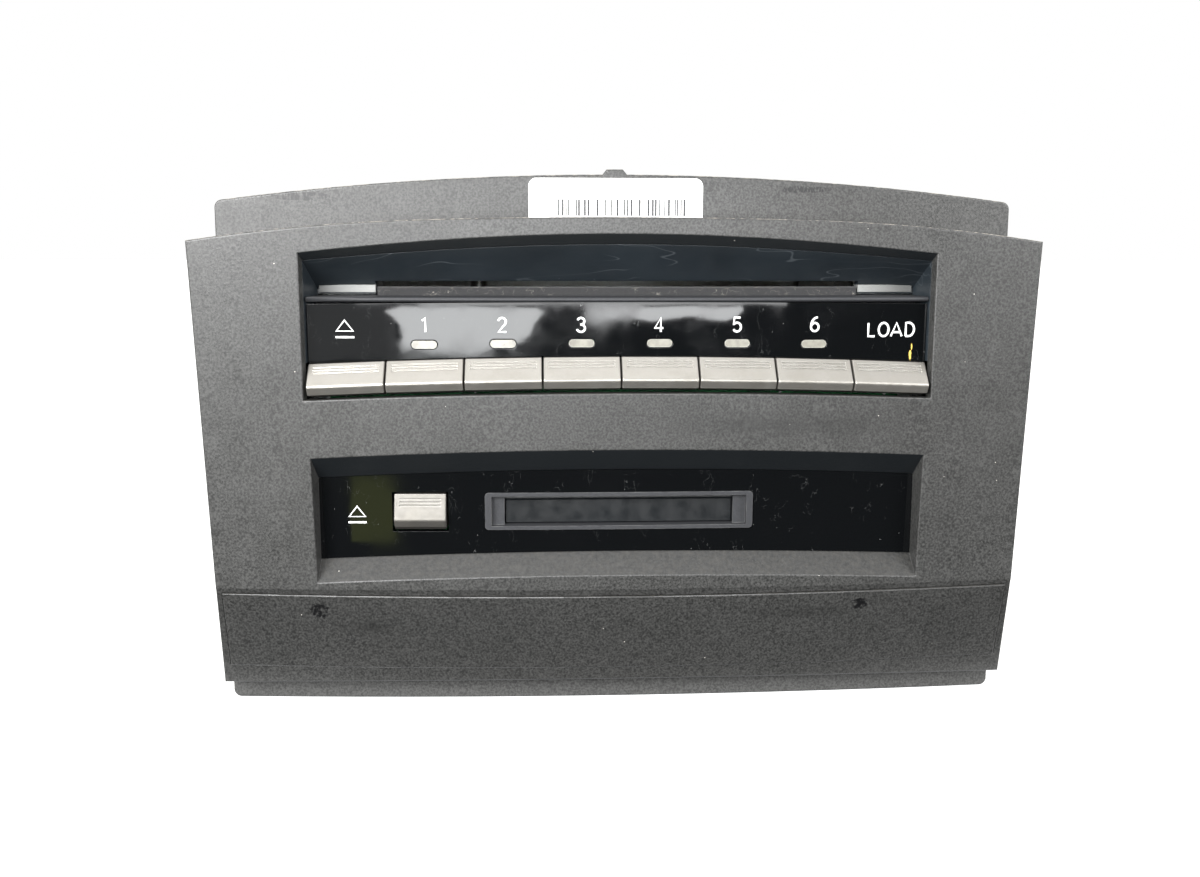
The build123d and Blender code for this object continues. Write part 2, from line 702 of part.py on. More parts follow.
def make_card_flap():
    """Dust flap that hangs from two pins behind the rim and swings inwards."""
    half = CARD_HALF - FIT
    plate = block(
        -half, half, FLAP_DEPTH - FLAP_THICK / 2, FLAP_DEPTH + FLAP_THICK / 2, FLAP_LOW, FLAP_AXIS
    )
    barrel = along_x(FLAP_PIN - 0.05, FLAP_DEPTH, FLAP_AXIS, -half, half)
    reach = CARD_HALF + FLAP_PIN_LENGTH
    pin = along_x(FLAP_PIN, FLAP_DEPTH, FLAP_AXIS, -reach, reach)
    return plate + barrel + pin


def make_card_cage():
    """Steel cage that guides the card to its connector, hung under the mechanism."""
    start = MOUTH_BACK + FIT
    cage = block(-CAGE_HALF, CAGE_HALF, start, CAGE_BACK, CAGE_LOW, CAGE_TOP)
    inner = CAGE_HALF - CAGE_WALL
    cage -= block(-inner, inner, start - 1, CAGE_BACK + 1, CAGE_LOW + CAGE_WALL, CAGE_TOP - CAGE_WALL)
    for side in (-1, 1):
        x0 = side * (inner - CARD_RAIL)
        x1 = side * inner
        rail_end = CAGE_BACK - CONNECTOR_LENGTH - 1
        cage += block(x0, x1, start, rail_end, CARD_RAIL_LOW, CAGE_TOP - CAGE_WALL)
        for y in (start + 12, CAGE_BACK - 12):
            cage += block(side * 20, side * 28, y, y + 8, CAGE_TOP, CHASSIS_FLOOR)
    return cage


def make_card_connector():
    """Socket at the back of the cage."""
    inner = CAGE_HALF - CAGE_WALL - 0.1
    low = CAGE_LOW + CAGE_WALL + 0.1
    top = CAGE_TOP - CAGE_WALL - 0.1
    body = block(-inner, inner, CAGE_BACK - CONNECTOR_LENGTH, CAGE_BACK + 3, low, top)
    return body - block(-26, 26, CAGE_BACK - CONNECTOR_LENGTH - 1, CAGE_BACK - 3, low + 1.6, low + 4.0)


# ---- collar and housing --------------------------------------------------------------------------
def make_rear_collar():
    """Moulding behind the panel: its edge shows as a visor above and a flange below."""
    half = COLLAR_TOP_HALF
    crown = ThreePointArc((-half, COLLAR_CORNER), (0, COLLAR_TOP), (half, COLLAR_CORNER))
    foot = COLLAR_LOW_HALF
    rest = Polyline(crown @ 1, (foot, 0), (-foot, 0), crown @ 0)
    outline = make_face([crown] + rest.edges())
    outline = fillet(outline.vertices(), COLLAR_ROUND)
    tab_low = COLLAR_TOP - 1
    tab_top = COLLAR_TOP + TAB_HIGH
    tab = make_face(
        Polyline(
            (TAB_X - TAB_BASE / 2, tab_low),
            (TAB_X + TAB_BASE / 2, tab_low),
            (TAB_X + TAB_BASE / 2, COLLAR_TOP),
            (TAB_X + TAB_TOP / 2, tab_top),
            (TAB_X - TAB_TOP / 2, tab_top),
            (TAB_X - TAB_BASE / 2, COLLAR_TOP),
            close=True,
        )
    )
    front = PANEL_DEPTH + FIT
    shape = upright(outline + tab, 0, 40) & bowed_slab(front, front + COLLAR_THICK)
    low = COLLAR_HOLE_LOW
    top = COLLAR_HOLE_TOP
    half = COLLAR_HOLE_HALF
    back = HOUSING_FRONT - FIT
    rib = block(-half - COLLAR_RIB, half + COLLAR_RIB, 0, back, low - COLLAR_RIB, top + COLLAR_RIB)
    shape = fillet([edge for edge in shape.edges() if on_bow(Pos(0, -front, 0) * edge)], EDGE_ROUND)
    shape += rib & bowed_slab(front + 0.5, 60)
    return shape - block(-half, half, 0, 60, low, top)


def make_front_frame():
    """Steel front of the housing, with openings for disc, card and ribbon and posts for the key board."""
    y0 = HOUSING_FRONT
    y1 = HOUSING_FRONT + SHEET
    plate = block(-HOUSING_HALF, HOUSING_HALF, y0, y1, FOOT_HIGH, HOUSING_TOP)
    plate -= block(-SLOT_HALF - 1.5, SLOT_HALF + 1.5, 0, 40, SLOT_LOW - 1.5, SLOT_TOP + 1)
    plate -= block(-CAGE_HALF - FIT, CAGE_HALF + FIT, 0, 40, CAGE_LOW - FIT, CAGE_TOP + FIT)
    low = RIBBON_HEIGHT - RIBBON_SLOT / 2
    plate -= block(-RIBBON_HALF, RIBBON_HALF, 0, 40, low, low + RIBBON_SLOT)
    for side in (-1, 1):
        for z in (FRONT_BOARD_LOW + 4, FRONT_BOARD_TOP - 6):
            x = side * (FRONT_BOARD_HALF - 4)
            plate += along_y(POST_RADIUS, x, z, FRONT_BOARD_FRONT + BOARD_THICK, y0)
    return plate


def feet():
    """Places of the stamped feet."""
    return [(side * FOOT_X, y) for side in (-1, 1) for y in (FOOT_FRONT, FOOT_BACK)]


def make_base_pan():
    """Bottom sheet with four stamped feet and posts for the main board."""
    y0 = HOUSING_FRONT + SHEET
    y1 = HOUSING_BACK - SHEET
    pan = block(-HOUSING_HALF, HOUSING_HALF, y0, y1, FOOT_HIGH, FOOT_HIGH + SHEET)
    for x, y in feet():
        pan += Pos(x, y, FOOT_HIGH / 2) * Cone(FOOT_RADIUS, FOOT_RADIUS + FOOT_HIGH, FOOT_HIGH)
    for x, y in board_posts():
        pan += along_z(POST_RADIUS, x, y, FOOT_HIGH + SHEET, MAIN_BOARD_LOW)
    return pan


def board_posts():
    """Places of the main board's posts."""
    x = MAIN_BOARD_HALF - 6
    return [(side * x, y) for side in (-1, 1) for y in (MAIN_BOARD_FRONT + 6, MAIN_BOARD_BACK - 6)]


def make_side_plate(side):
    """Side sheet with a folded top flange and vent slots."""
    outer = side * HOUSING_HALF
    inner = side * (HOUSING_HALF - SHEET)
    y0 = HOUSING_FRONT + SHEET
    y1 = HOUSING_BACK - SHEET
    low = FOOT_HIGH + SHEET
    top = HOUSING_TOP - SHEET
    plate = block(inner, outer, y0, y1, low, top)
    plate += block(inner, inner - side * 6, y0 + 6, y1 - 6, top - SHEET, top)
    for row in range(VENT_ROWS):
        for column in range(5):
            y = 96 + column * VENT_PITCH
            z = 30 + row * 6
            vent = block(inner - side, outer + side, y - VENT_LONG / 2, y + VENT_LONG / 2, z, z + VENT_WIDE)
            plate -= vent
    return plate


def make_top_cover():
    """Lid with rows of vent slots and two stamped ribs."""
    y0 = HOUSING_FRONT + SHEET
    y1 = HOUSING_BACK - SHEET
    cover = block(-HOUSING_HALF, HOUSING_HALF, y0, y1, HOUSING_TOP - SHEET, HOUSING_TOP)
    for row in range(VENT_ROWS):
        for column in range(VENT_COLUMNS):
            x = (column - (VENT_COLUMNS - 1) / 2) * VENT_PITCH
            y = VENT_FRONT + row * VENT_ROW_PITCH
            x0, x1 = x - VENT_LONG / 2, x + VENT_LONG / 2
            cover -= block(x0, x1, y, y + VENT_WIDE, HOUSING_TOP - SHEET - 1, HOUSING_TOP + 1)
    for side in (-1, 1):
        x0 = side * LID_RIB_X - LID_RIB_WIDE / 2
        y0 = LID_RIB_DEPTH - LID_RIB_LONG / 2
        top = HOUSING_TOP + LID_RIB_HIGH
        cover += block(x0, x0 + LID_RIB_WIDE, y0, y0 + LID_RIB_LONG, HOUSING_TOP, top)
    return cover


def make_rear_panel():
    """Back sheet with openings for the sockets."""
    y0 = HOUSING_BACK - SHEET
    panel = block(-HOUSING_HALF, HOUSING_HALF, y0, HOUSING_BACK, FOOT_HIGH, HOUSING_TOP)
    x0, x1, z0, z1 = MAIN_SOCKET
    panel -= block(x0 - FIT, x1 + FIT, y0 - 1, HOUSING_BACK + 1, z0 - FIT, z1 + FIT)
    for x, z in antenna_places():
        panel -= along_y(ANTENNA_RADIUS + FIT, x, z, y0 - 1, HOUSING_BACK + 1)
    return panel


def antenna_places():
    """Places of the two round aerial sockets."""
    return [(x, MAIN_BOARD_LOW + BOARD_THICK + ANTENNA_RADIUS + 3) for x in (-14.0, 2.0)]


def main_socket():
    """Four-chamber socket block on the main board, through the back."""
    x0, x1, z0, z1 = MAIN_SOCKET
    front = MAIN_BOARD_BACK - 8
    back = HOUSING_BACK + SOCKET_PROUD
    socket = block(x0, x1, front, back, z0, z1)
    wide = (x1 - x0 - 3 * 1.6) / 2
    high = (z1 - z0 - 3 * 1.6) / 2
    for column in range(2):
        for row in range(2):
            x = x0 + 1.6 + column * (wide + 1.6)
            z = z0 + 1.6 + row * (high + 1.6)
            socket -= block(x, x + wide, back - 12, back + 1, z, z + high)
    return socket


def make_rear_sockets():
    """Main socket and two round aerial sockets with their centre contacts."""
    sockets = [main_socket()]
    for x, z in antenna_places():
        front = MAIN_BOARD_BACK - 6
        back = HOUSING_BACK + SOCKET_PROUD
        barrel = along_y(ANTENNA_RADIUS, x, z, front + 6, back)
        foot = block(x - 5, x + 5, front, front + 10, MAIN_BOARD_LOW + BOARD_THICK, z + 5)
        bore = along_y(ANTENNA_RADIUS - 0.9, x, z, back - 8, back + 1)
        sockets.append((barrel + foot) - bore + along_y(0.6, x, z, back - 8, back - 1))
    return sockets


def make_heat_sink():
    """Finned aluminium block on the back."""
    y0 = HOUSING_BACK
    sink = block(SINK_LEFT, SINK_RIGHT, y0, y0 + SINK_BASE, SINK_LOW, SINK_TOP)
    pitch = (SINK_RIGHT - SINK_LEFT - FIN_THICK) / (FIN_COUNT - 1)
    for fin in range(FIN_COUNT):
        x = SINK_LEFT + fin * pitch
        sink += block(x, x + FIN_THICK, y0 + SINK_BASE, y0 + SINK_DEEP, SINK_LOW, SINK_TOP)
    return sink


def make_case_screws():
    """Pan-head screws of the lid, the back and the brackets."""
    heads = []
    for side in (-1, 1):
        middle = (HOUSING_FRONT + HOUSING_BACK) / 2
        for y in (HOUSING_FRONT + LID_SCREW_INSET, middle, HOUSING_BACK - LID_SCREW_INSET):
            x = side * (HOUSING_HALF - 4)
            heads.append(along_z(SCREW_HEAD, x, y, HOUSING_TOP, HOUSING_TOP + SCREW_HEAD_HIGH))
        for z in (FOOT_HIGH + REAR_SCREW_INSET, HOUSING_TOP - REAR_SCREW_INSET):
            x = side * (HOUSING_HALF - REAR_SCREW_INSET + 3)
            heads.append(along_y(SCREW_HEAD, x, z, HOUSING_BACK, HOUSING_BACK + SCREW_HEAD_HIGH))
        for y, z in bracket_screws():
            x = side * (HOUSING_HALF + BRACKET_THICK)
            low, high = sorted((x, x + side * SCREW_HEAD_HIGH))
            heads.append(along_x(SCREW_HEAD, y, z, low, high))
    return heads


def bracket_screws():
    """Places of the screws that hold a bracket to its side plate."""
    y = BRACKET_FRONT + BRACKET_LONG - 10
    return [(y, BRACKET_LOW + 14), (y, BRACKET_HIGH - 14), (BRACKET_FRONT + 16, 65.0)]


def mount_bracket(side):
    """Folded steel bracket: a plate on the housing's side and an ear with two bolt holes."""
    inner = side * HOUSING_HALF
    outer = side * (HOUSING_HALF + BRACKET_THICK)
    far = side * (HOUSING_HALF + BRACKET_EAR)
    y0 = BRACKET_FRONT
    plate = block(inner, outer, y0, y0 + BRACKET_LONG, BRACKET_LOW, BRACKET_HIGH)
    plate -= block(inner - side, outer + side, y0 + 24, y0 + BRACKET_LONG - 18, 45, 85)
    ear = block(inner, far, y0, y0 + BRACKET_THICK, BRACKET_LOW, BRACKET_HIGH)
    for z in (EAR_HOLE_LOW, EAR_HOLE_HIGH):
        ear -= along_y(EAR_HOLE, side * EAR_HOLE_X, z, y0 - 1, y0 + BRACKET_THICK + 1)
    return plate + ear


# ---- boards --------------------------------------------------------------------------------------
def make_front_board():
    """Circuit board behind the keys, with a card window and a lamp behind each light pipe."""
    y0 = FRONT_BOARD_FRONT
    board = block(
        -FRONT_BOARD_HALF, FRONT_BOARD_HALF, y0, y0 + BOARD_THICK, FRONT_BOARD_LOW, FRONT_BOARD_TOP
    )
    board -= block(-CAGE_HALF - 1, CAGE_HALF + 1, y0 - 1, y0 + 3, CAGE_LOW - 1, CAGE_TOP + 1)
    for number in range(1, DISC_COUNT + 1):
        x = lens_x(number)
        z = lens_height(number)
        board += block(x - 1.6, x + 1.6, y0 - LAMP_HIGH, y0, z - 0.8, z + 0.8)
    return board


def stem_height(index):
    """Height of a key stem's middle."""
    x = key_x(index)
    return KEY_TOP - row_drop(x) - KEY_HEIGHT / 2


def make_key_switches():
    """One switch behind each stem."""
    places = [(key_x(index), stem_height(index)) for index in range(KEY_COUNT)]
    places.append((CARD_KEY_X, CARD_KEY_TOP - CARD_KEY_HEIGHT / 2))
    half = SWITCH_SIZE / 2
    y1 = FRONT_BOARD_FRONT
    return [block(x - half, x + half, y1 - SWITCH_HIGH, y1, z - half, z + half) for x, z in places]


def make_main_board():
    """Main circuit board on the posts of the base, with its chips, capacitors and coil soldered on."""
    top = MAIN_BOARD_LOW + BOARD_THICK
    board = block(-MAIN_BOARD_HALF, MAIN_BOARD_HALF, MAIN_BOARD_FRONT, MAIN_BOARD_BACK, MAIN_BOARD_LOW, top)
    for x, y in ((-60, 60), (-10, 50), (30, 90)):
        board += block(x, x + 20, y, y + 20, top, top + 2.2)
    for x in (36, 50, 64):
        board += along_z(5, x, 140, top, top + 14)
    return board + block(55, 75, 45, 65, top, top + 9)


# ---- changer mechanism ---------------------------------------------------------------------------
def roller_height():
    """Height of the feed roller's axis."""
    return DISC_HEIGHT - 0.1 - ROLLER_RADIUS


def motor_height():
    """Height of the feed motor's axis, straight under the roller's."""
    return roller_height() - GEAR_MODULE * (ROLLER_TEETH + PINION_TEETH) / 2 - GEAR_PLAY


def lift_places():
    """Plan places of the three lift screws."""
    return {
        "left": (-LIFT_X, LIFT_DEPTH),
        "right": (LIFT_X, LIFT_DEPTH),
        "rear": (LIFT_REAR_X, LIFT_REAR_DEPTH),
    }


def make_mech_chassis():
    """Steel tray that carries the mechanism: floor, two side walls and lugs to the housing."""
    half = CHASSIS_HALF
    sheet = CHASSIS_SHEET
    floor_top = CHASSIS_FLOOR + sheet
    chassis = block(-half, half, CHASSIS_FRONT, CHASSIS_BACK, CHASSIS_FLOOR, floor_top)
    for side in (-1, 1):
        wall = block(side * (half - sheet), side * half, CHASSIS_FRONT, CHASSIS_BACK, CHASSIS_FLOOR, ROOF_LOW)
        chassis += wall
        for y in (60, 150):
            wall = side * (HOUSING_HALF - SHEET)
            chassis += block(side * half, wall, y, y + 12, CHASSIS_FLOOR, floor_top)
    y, z = ROLLER_DEPTH, roller_height()
    chassis -= along_x(ROLLER_SHAFT + RUNNING, y, z, -half - 1, half + 1)
    chassis -= along_x(MOTOR_SHAFT + 0.6, y, motor_height(), half - 3, half + 1)
    for x, y in lift_places().values():
        chassis -= along_z(LIFT_END + RUNNING, x, y, CHASSIS_FLOOR - 1, floor_top + 1)
    return chassis


def make_mech_roof():
    """Top plate of the mechanism, with the clamp arm's ears."""
    sheet = CHASSIS_SHEET
    roof = block(-CHASSIS_HALF, CHASSIS_HALF, CHASSIS_FRONT, CHASSIS_BACK, ROOF_LOW, ROOF_LOW + sheet)
    roof -= block(-40, 40, 60, 140, ROOF_LOW - 1, ROOF_LOW + 3)
    for x, y in lift_places().values():
        roof -= along_z(LIFT_END + RUNNING, x, y, ROOF_LOW - 1, ROOF_LOW + 3)
    for side in (-1, 1):
        x0 = side * (CLAMP_HALF + FIT)
        roof += block(x0, x0 + side * sheet, CLAMP_HINGE - 2.6, CLAMP_HINGE + 4, ROOF_LOW - 4, ROOF_LOW)
    reach = CLAMP_HALF + 5
    return roof - along_x(CLAMP_PIN + RUNNING, CLAMP_HINGE, clamp_height(), -reach, reach)


def clamp_height():
    """Height of the clamp arm's pin."""
    return ROOF_LOW - 1.6


def make_clamp_arm():
    """Arm with the disc clamp at its end, on a pin at the back."""
    z = clamp_height()
    plate = block(-CLAMP_HALF, CLAMP_HALF, DISC_CENTRE - 6, CLAMP_HINGE, z - 0.5, z + 0.5)
    plate -= block(-CLAMP_HALF + 4, CLAMP_HALF - 4, DISC_CENTRE + 18, CLAMP_HINGE - 8, z - 1, z + 1)
    reach = CLAMP_HALF + FIT + CHASSIS_SHEET + 0.5
    pin = along_x(CLAMP_PIN, CLAMP_HINGE, z, -reach, reach)
    puck = along_z(TURNTABLE_RADIUS - 2, 0, DISC_CENTRE, z - 1.2, z + 0.5)
    return plate + pin + puck


def gear_plane():
    """Middle of the gear train, outside the right chassis wall."""
    return CHASSIS_HALF + GEAR_GAP + GEAR_WIDE / 2


def on_x_axis(shape, z, turn=0.0):
    """Puts a gear made along z onto an axis along x; tooth 0 points down before the turn."""
    return Pos(gear_plane(), ROLLER_DEPTH, z) * Rot(turn, 0, 0) * Rot(0, 90, 0) * shape


def make_roller_shaft():
    """Shaft of the feed roller with its gear pressed on."""
    end = CHASSIS_HALF + GEAR_GAP + GEAR_WIDE + 0.6
    shaft = along_x(ROLLER_SHAFT, ROLLER_DEPTH, roller_height(), -CHASSIS_HALF - 0.8, end)
    return shaft + on_x_axis(gear(ROLLER_TEETH, ROLLER_SHAFT / 2, GEAR_WIDE), roller_height())


def make_feed_roller():
    """Rubber roller that is thinner in the middle, so that it touches only a disc's edges."""
    half = ROLLER_HALF
    waist = ROLLER_RADIUS - 0.5
    bore = ROLLER_SHAFT + 0.02
    over = ThreePointArc((-half, ROLLER_RADIUS), (0, waist), (half, ROLLER_RADIUS))
    rest = Polyline((half, ROLLER_RADIUS), (half, bore), (-half, bore), (-half, ROLLER_RADIUS))
    outline = make_face([over] + rest.edges())
    return Pos(0, ROLLER_DEPTH, roller_height()) * revolve(outline, Axis.X)


def make_feed_pinion():
    """Motor shaft with its pinion, a gap of which faces the roller gear's lowest tooth."""
    half_step = 180 / PINION_TEETH
    z = motor_height()
    pinion = on_x_axis(gear(PINION_TEETH, MOTOR_SHAFT / 2, GEAR_WIDE), z, half_step)
    start = CHASSIS_HALF - CHASSIS_SHEET - MOTOR_LONG + 6
    return pinion + along_x(MOTOR_SHAFT, ROLLER_DEPTH, z, start, gear_plane() + GEAR_WIDE / 2)


def make_feed_motor():
    """Feed motor on the inside of the right chassis wall."""
    end = CHASSIS_HALF - CHASSIS_SHEET
    start = end - MOTOR_LONG
    z = motor_height()
    body = along_x(MOTOR_RADIUS, ROLLER_DEPTH, z, start, end)
    return body - along_x(MOTOR_SHAFT + RUNNING, ROLLER_DEPTH, z, start + 5, end + 1)


def tray_low(number):
    """Underside of a tray at rest, counted from the bottom."""
    return TRAY_LOW + (number - 1) * TRAY_PITCH


def make_disc_tray(number):
    """Disc tray: a ring with a raised rim at the back, a window for the pickup, ears on the screws."""
    ring = Pos(0, DISC_CENTRE) * Circle(TRAY_RADIUS)
    for x, y in lift_places().values():
        ring += Pos(x, y) * Circle(EAR_RADIUS)
        dx = -x
        dy = DISC_CENTRE - y
        reach = hypot(dx, dy) - TRAY_HOLE - 8
        turned = Pos(x, y) * Rot(0, 0, degrees(atan2(dy, dx)))
        arm = turned * Pos(reach / 2, 0) * Rectangle(reach, 2 * EAR_RADIUS)
        ring += arm
    ring -= Pos(0, DISC_CENTRE) * Circle(TRAY_HOLE)
    window = TRAY_RADIUS - TRAY_BACK_BAR
    ring -= Pos(0, DISC_CENTRE + window / 2) * Rectangle(2 * TRAY_WINDOW, window)
    plate = extrude(ring, TRAY_THICK)
    rim = Pos(0, DISC_CENTRE) * (Circle(TRAY_RADIUS) - Circle(DISC_RADIUS + 1.5))
    rim -= Pos(0, DISC_CENTRE - TRAY_RADIUS) * Rectangle(2 * TRAY_RADIUS, TRAY_RADIUS)
    tray = plate + Pos(0, 0, TRAY_THICK) * extrude(rim, TRAY_RIM)
    for x, y in lift_places().values():
        tray -= along_z(LIFT_RADIUS + RUNNING, x, y, -1, TRAY_THICK + TRAY_RIM + 1)
    return Pos(0, 0, tray_low(number)) * tray


def make_lift_screw(name):
    """Lift screw between the chassis floor and the mechanism's roof."""
    x, y = lift_places()[name]
    floor_top = CHASSIS_FLOOR + CHASSIS_SHEET
    core = along_z(LIFT_RADIUS, x, y, floor_top + FIT, ROOF_LOW - FIT)
    return core + along_z(LIFT_END, x, y, CHASSIS_FLOOR, ROOF_LOW + CHASSIS_SHEET)


def make_drive_deck():
    """Plate that carries the spindle and the pickup, with tabs for the rods."""
    low = DECK_LOW
    top = DECK_LOW + DECK_THICK
    deck = block(-DECK_HALF, DECK_HALF, DECK_FRONT, DECK_BACK, low, top)
    deck -= block(-8, 8, SLED_START + 2, DECK_BACK - 8, low - 1, top + 1)
    deck -= along_z(SPINDLE_SHAFT + RUNNING, 0, DISC_CENTRE, low - 1, top + 1)
    for y in (RAIL_FRONT, RAIL_BACK):
        tab = block(-RAIL_X - 3, SLED_SCREW_X + 3, y, y + DECK_TAB, low, RAIL_HEIGHT + RAIL_RADIUS + 0.4)
        tab -= block(-8, 8, y - 1, y + 3, top, 80)
        for x in (-RAIL_X, RAIL_X):
            tab -= along_y(RAIL_RADIUS, x, RAIL_HEIGHT, y - 1, y + 3)
        tab -= along_y(RAIL_RADIUS + RUNNING, SLED_SCREW_X, RAIL_HEIGHT, y - 1, y + 3)
        deck += tab
    return deck


def make_deck_dampers():
    """Four rubber dampers between the chassis floor and the drive deck."""
    z0 = CHASSIS_FLOOR + CHASSIS_SHEET
    dampers = []
    for side in (-1, 1):
        for y in (DECK_FRONT + 6, DECK_BACK - 6):
            x = side * (DECK_HALF - 5)
            dampers.append(along_z(4, x, y, z0, DECK_LOW))
    return dampers


def make_spindle_motor():
    """Flat motor under the drive deck."""
    body = along_z(SPINDLE_RADIUS, 0, DISC_CENTRE, CHASSIS_FLOOR + CHASSIS_SHEET + FIT, DECK_LOW)
    return body - along_z(SPINDLE_SHAFT + RUNNING, 0, DISC_CENTRE, DECK_LOW - 2, DECK_LOW + 1)


def make_turntable():
    """Turntable with its centring hub, on the motor's shaft."""
    table = along_z(TURNTABLE_RADIUS, 0, DISC_CENTRE, TURNTABLE_LOW, TURNTABLE_LOW + TURNTABLE_HIGH)
    top = TURNTABLE_LOW + TURNTABLE_HIGH
    hub = Pos(0, DISC_CENTRE, top + HUB_HIGH / 2) * Cone(HUB_RADIUS, HUB_RADIUS - 1, HUB_HIGH)
    return table + hub + along_z(SPINDLE_SHAFT, 0, DISC_CENTRE, DECK_LOW - 1.5, TURNTABLE_LOW)


def make_sled_rods():
    """Two guide rods of the pickup."""
    return [along_y(RAIL_RADIUS, x, RAIL_HEIGHT, RAIL_FRONT, DECK_BACK) for x in (-RAIL_X, RAIL_X)]


def make_pickup_sled():
    """Laser pickup that slides on the two rods and is driven by the screw."""
    y0 = SLED_START
    y1 = SLED_START + SLED_LONG
    low = DECK_LOW + DECK_THICK + 0.3
    top = RAIL_HEIGHT + RAIL_RADIUS + 0.3
    sled = block(-RAIL_X - 2.5, SLED_SCREW_X + 2.5, y0, y1, low, top)
    for x in (-RAIL_X, RAIL_X, SLED_SCREW_X):
        sled -= along_y(RAIL_RADIUS + RUNNING, x, RAIL_HEIGHT, y0 - 1, y1 + 1)
    lens = Pos(0, (y0 + y1) / 2, top + 0.15) * Cylinder(2.4, 0.3)
    return sled + lens


def make_sled_screw():
    """Lead screw of the pickup."""
    return along_y(RAIL_RADIUS, SLED_SCREW_X, RAIL_HEIGHT, RAIL_FRONT - 1, RAIL_BACK + 5)


def make_sled_motor():
    """Small motor behind the drive deck's rear tab."""
    y0 = DECK_BACK
    body = along_y(5.0, SLED_SCREW_X, RAIL_HEIGHT, y0, y0 + 9)
    return body - along_y(RAIL_RADIUS + RUNNING, SLED_SCREW_X, RAIL_HEIGHT, y0 - 1, y0 + 5)


# ---- the whole unit ------------------------------------------------------------------------------
def make_all():
    """Every piece by its node's name, in the making frame."""
    nodes = {
        "fascia_panel": make_fascia_panel(),
        "chin_trim": make_chin_trim(),
        "rear_collar": make_rear_collar(),
        "slot_hood": make_slot_hood(),
        "slot_felt": make_slot_felt(),
        "slot_lights": [light_bar(-1), light_bar(1)],
        "upper_gloss_strip": make_upper_gloss_strip(),
        "indicator_lenses": make_indicator_lenses(),
        "key_carrier": make_key_carrier(),
        "lower_gloss_panel": make_lower_gloss_panel(),
        "card_key": make_card_key(),
        "card_mouth": make_card_mouth(),
        "card_flap": make_card_flap(),
        "card_cage": make_card_cage(),
        "card_connector": make_card_connector(),
        "front_board": make_front_board(),
        "key_switches": make_key_switches(),
        "front_frame": make_front_frame(),
        "base_pan": make_base_pan(),
        "side_plate_left": make_side_plate(-1),
        "side_plate_right": make_side_plate(1),
        "top_cover": make_top_cover(),
        "rear_panel": make_rear_panel(),
        "case_screws": make_case_screws(),
        "mount_brackets": [mount_bracket(-1), mount_bracket(1)],
        "main_board": make_main_board(),
        "rear_sockets": make_rear_sockets(),
        "heat_sink": make_heat_sink(),
        "mech_chassis": make_mech_chassis(),
        "mech_roof": make_mech_roof(),
        "roller_shaft": make_roller_shaft(),
        "feed_roller": make_feed_roller(),
        "feed_pinion": make_feed_pinion(),
        "feed_motor": make_feed_motor(),
        "drive_deck": make_drive_deck(),
        "deck_dampers": make_deck_dampers(),
        "spindle_motor": make_spindle_motor(),
        "turntable": make_turntable(),
        "sled_rods": make_sled_rods(),
        "pickup_sled": make_pickup_sled(),
        "sled_screw": make_sled_screw(),
        "sled_motor": make_sled_motor(),
        "clamp_arm": make_clamp_arm(),
    }
    for index, name in enumerate(KEY_NAMES):
        nodes[name] = make_key(index)
    for number in range(1, DISC_COUNT + 1):
        nodes[f"disc_tray_{number}"] = make_disc_tray(number)
    for name in lift_places():
        nodes[f"lift_screw_{name}"] = make_lift_screw(name)
    return nodes


def middle_depth():
    """Depth of the middle of the whole unit's box: from the key noses to the heat sink's fins."""
    return (KEY_NOSE + HOUSING_BACK + SINK_DEEP) / 2


def write_parts():
    """Writes one STEP file for each node, with the origin at the middle of the unit's bottom."""
    os.makedirs("parts", exist_ok=True)
    to_origin = Pos(0, -middle_depth(), 0)
    for name, shape in make_all().items():
        solids = shape if isinstance(shape, list) else [shape]
        whole = Compound([solid for piece in solids for solid in (to_origin * piece).solids()])
        export_step(whole, f"parts/{name}.step")


write_parts()
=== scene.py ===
"""Looks of the six-disc car changer, laid out as an add-on.

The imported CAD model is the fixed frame. Each operator finishes one piece or a group of like
pieces, or adds markings, and the last one sets up the studio. Lengths inside the helpers are
millimetres, and become metres where a mesh is placed. x runs to the right, y runs back and z is
the height above the feet.
"""

import random
from math import cos, radians, sin, sqrt

import bmesh
import bpy
from mathutils import Matrix, Vector


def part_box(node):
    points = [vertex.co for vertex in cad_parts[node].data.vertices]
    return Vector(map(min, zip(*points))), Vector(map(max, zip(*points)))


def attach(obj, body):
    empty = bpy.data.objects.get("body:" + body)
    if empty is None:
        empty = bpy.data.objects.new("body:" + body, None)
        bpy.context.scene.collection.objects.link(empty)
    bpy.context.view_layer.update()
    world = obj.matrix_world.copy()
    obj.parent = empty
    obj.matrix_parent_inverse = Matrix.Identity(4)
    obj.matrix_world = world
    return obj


bl_info = {
    "name": "Six-disc car changer",
    "version": (1, 0, 0),
    "blender": (4, 5, 0),
    "location": "View3D > Sidebar > Changer",
    "description": "Finishes, markings and studio for the packed six-disc car changer",
    "category": "Object",
}

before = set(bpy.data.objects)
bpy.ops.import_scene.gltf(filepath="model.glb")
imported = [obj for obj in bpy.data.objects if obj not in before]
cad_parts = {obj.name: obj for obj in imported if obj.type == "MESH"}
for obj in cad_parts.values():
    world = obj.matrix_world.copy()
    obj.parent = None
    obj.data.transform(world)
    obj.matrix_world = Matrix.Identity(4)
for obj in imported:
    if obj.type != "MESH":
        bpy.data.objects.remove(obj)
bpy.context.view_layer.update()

MM = 0.001
FACE_RADIUS = 1400.0  # plan radius of the bowed front
FACE_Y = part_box("fascia_panel")[0].y / MM  # y of the middle of that front
STRIP_FRONT = 3.5  # depths behind the bowed front
PANEL_FRONT = 5.1
VISOR_FRONT = 14.0
DIGIT_X = (-48.3, -29.2, -9.8, 9.5, 28.9, 48.5)
CAMERA = (-19.7, -395.25, 124.7)
LENS = 36.96  # focal length over a 36 mm wide sensor
PRINT_THICK = 0.04
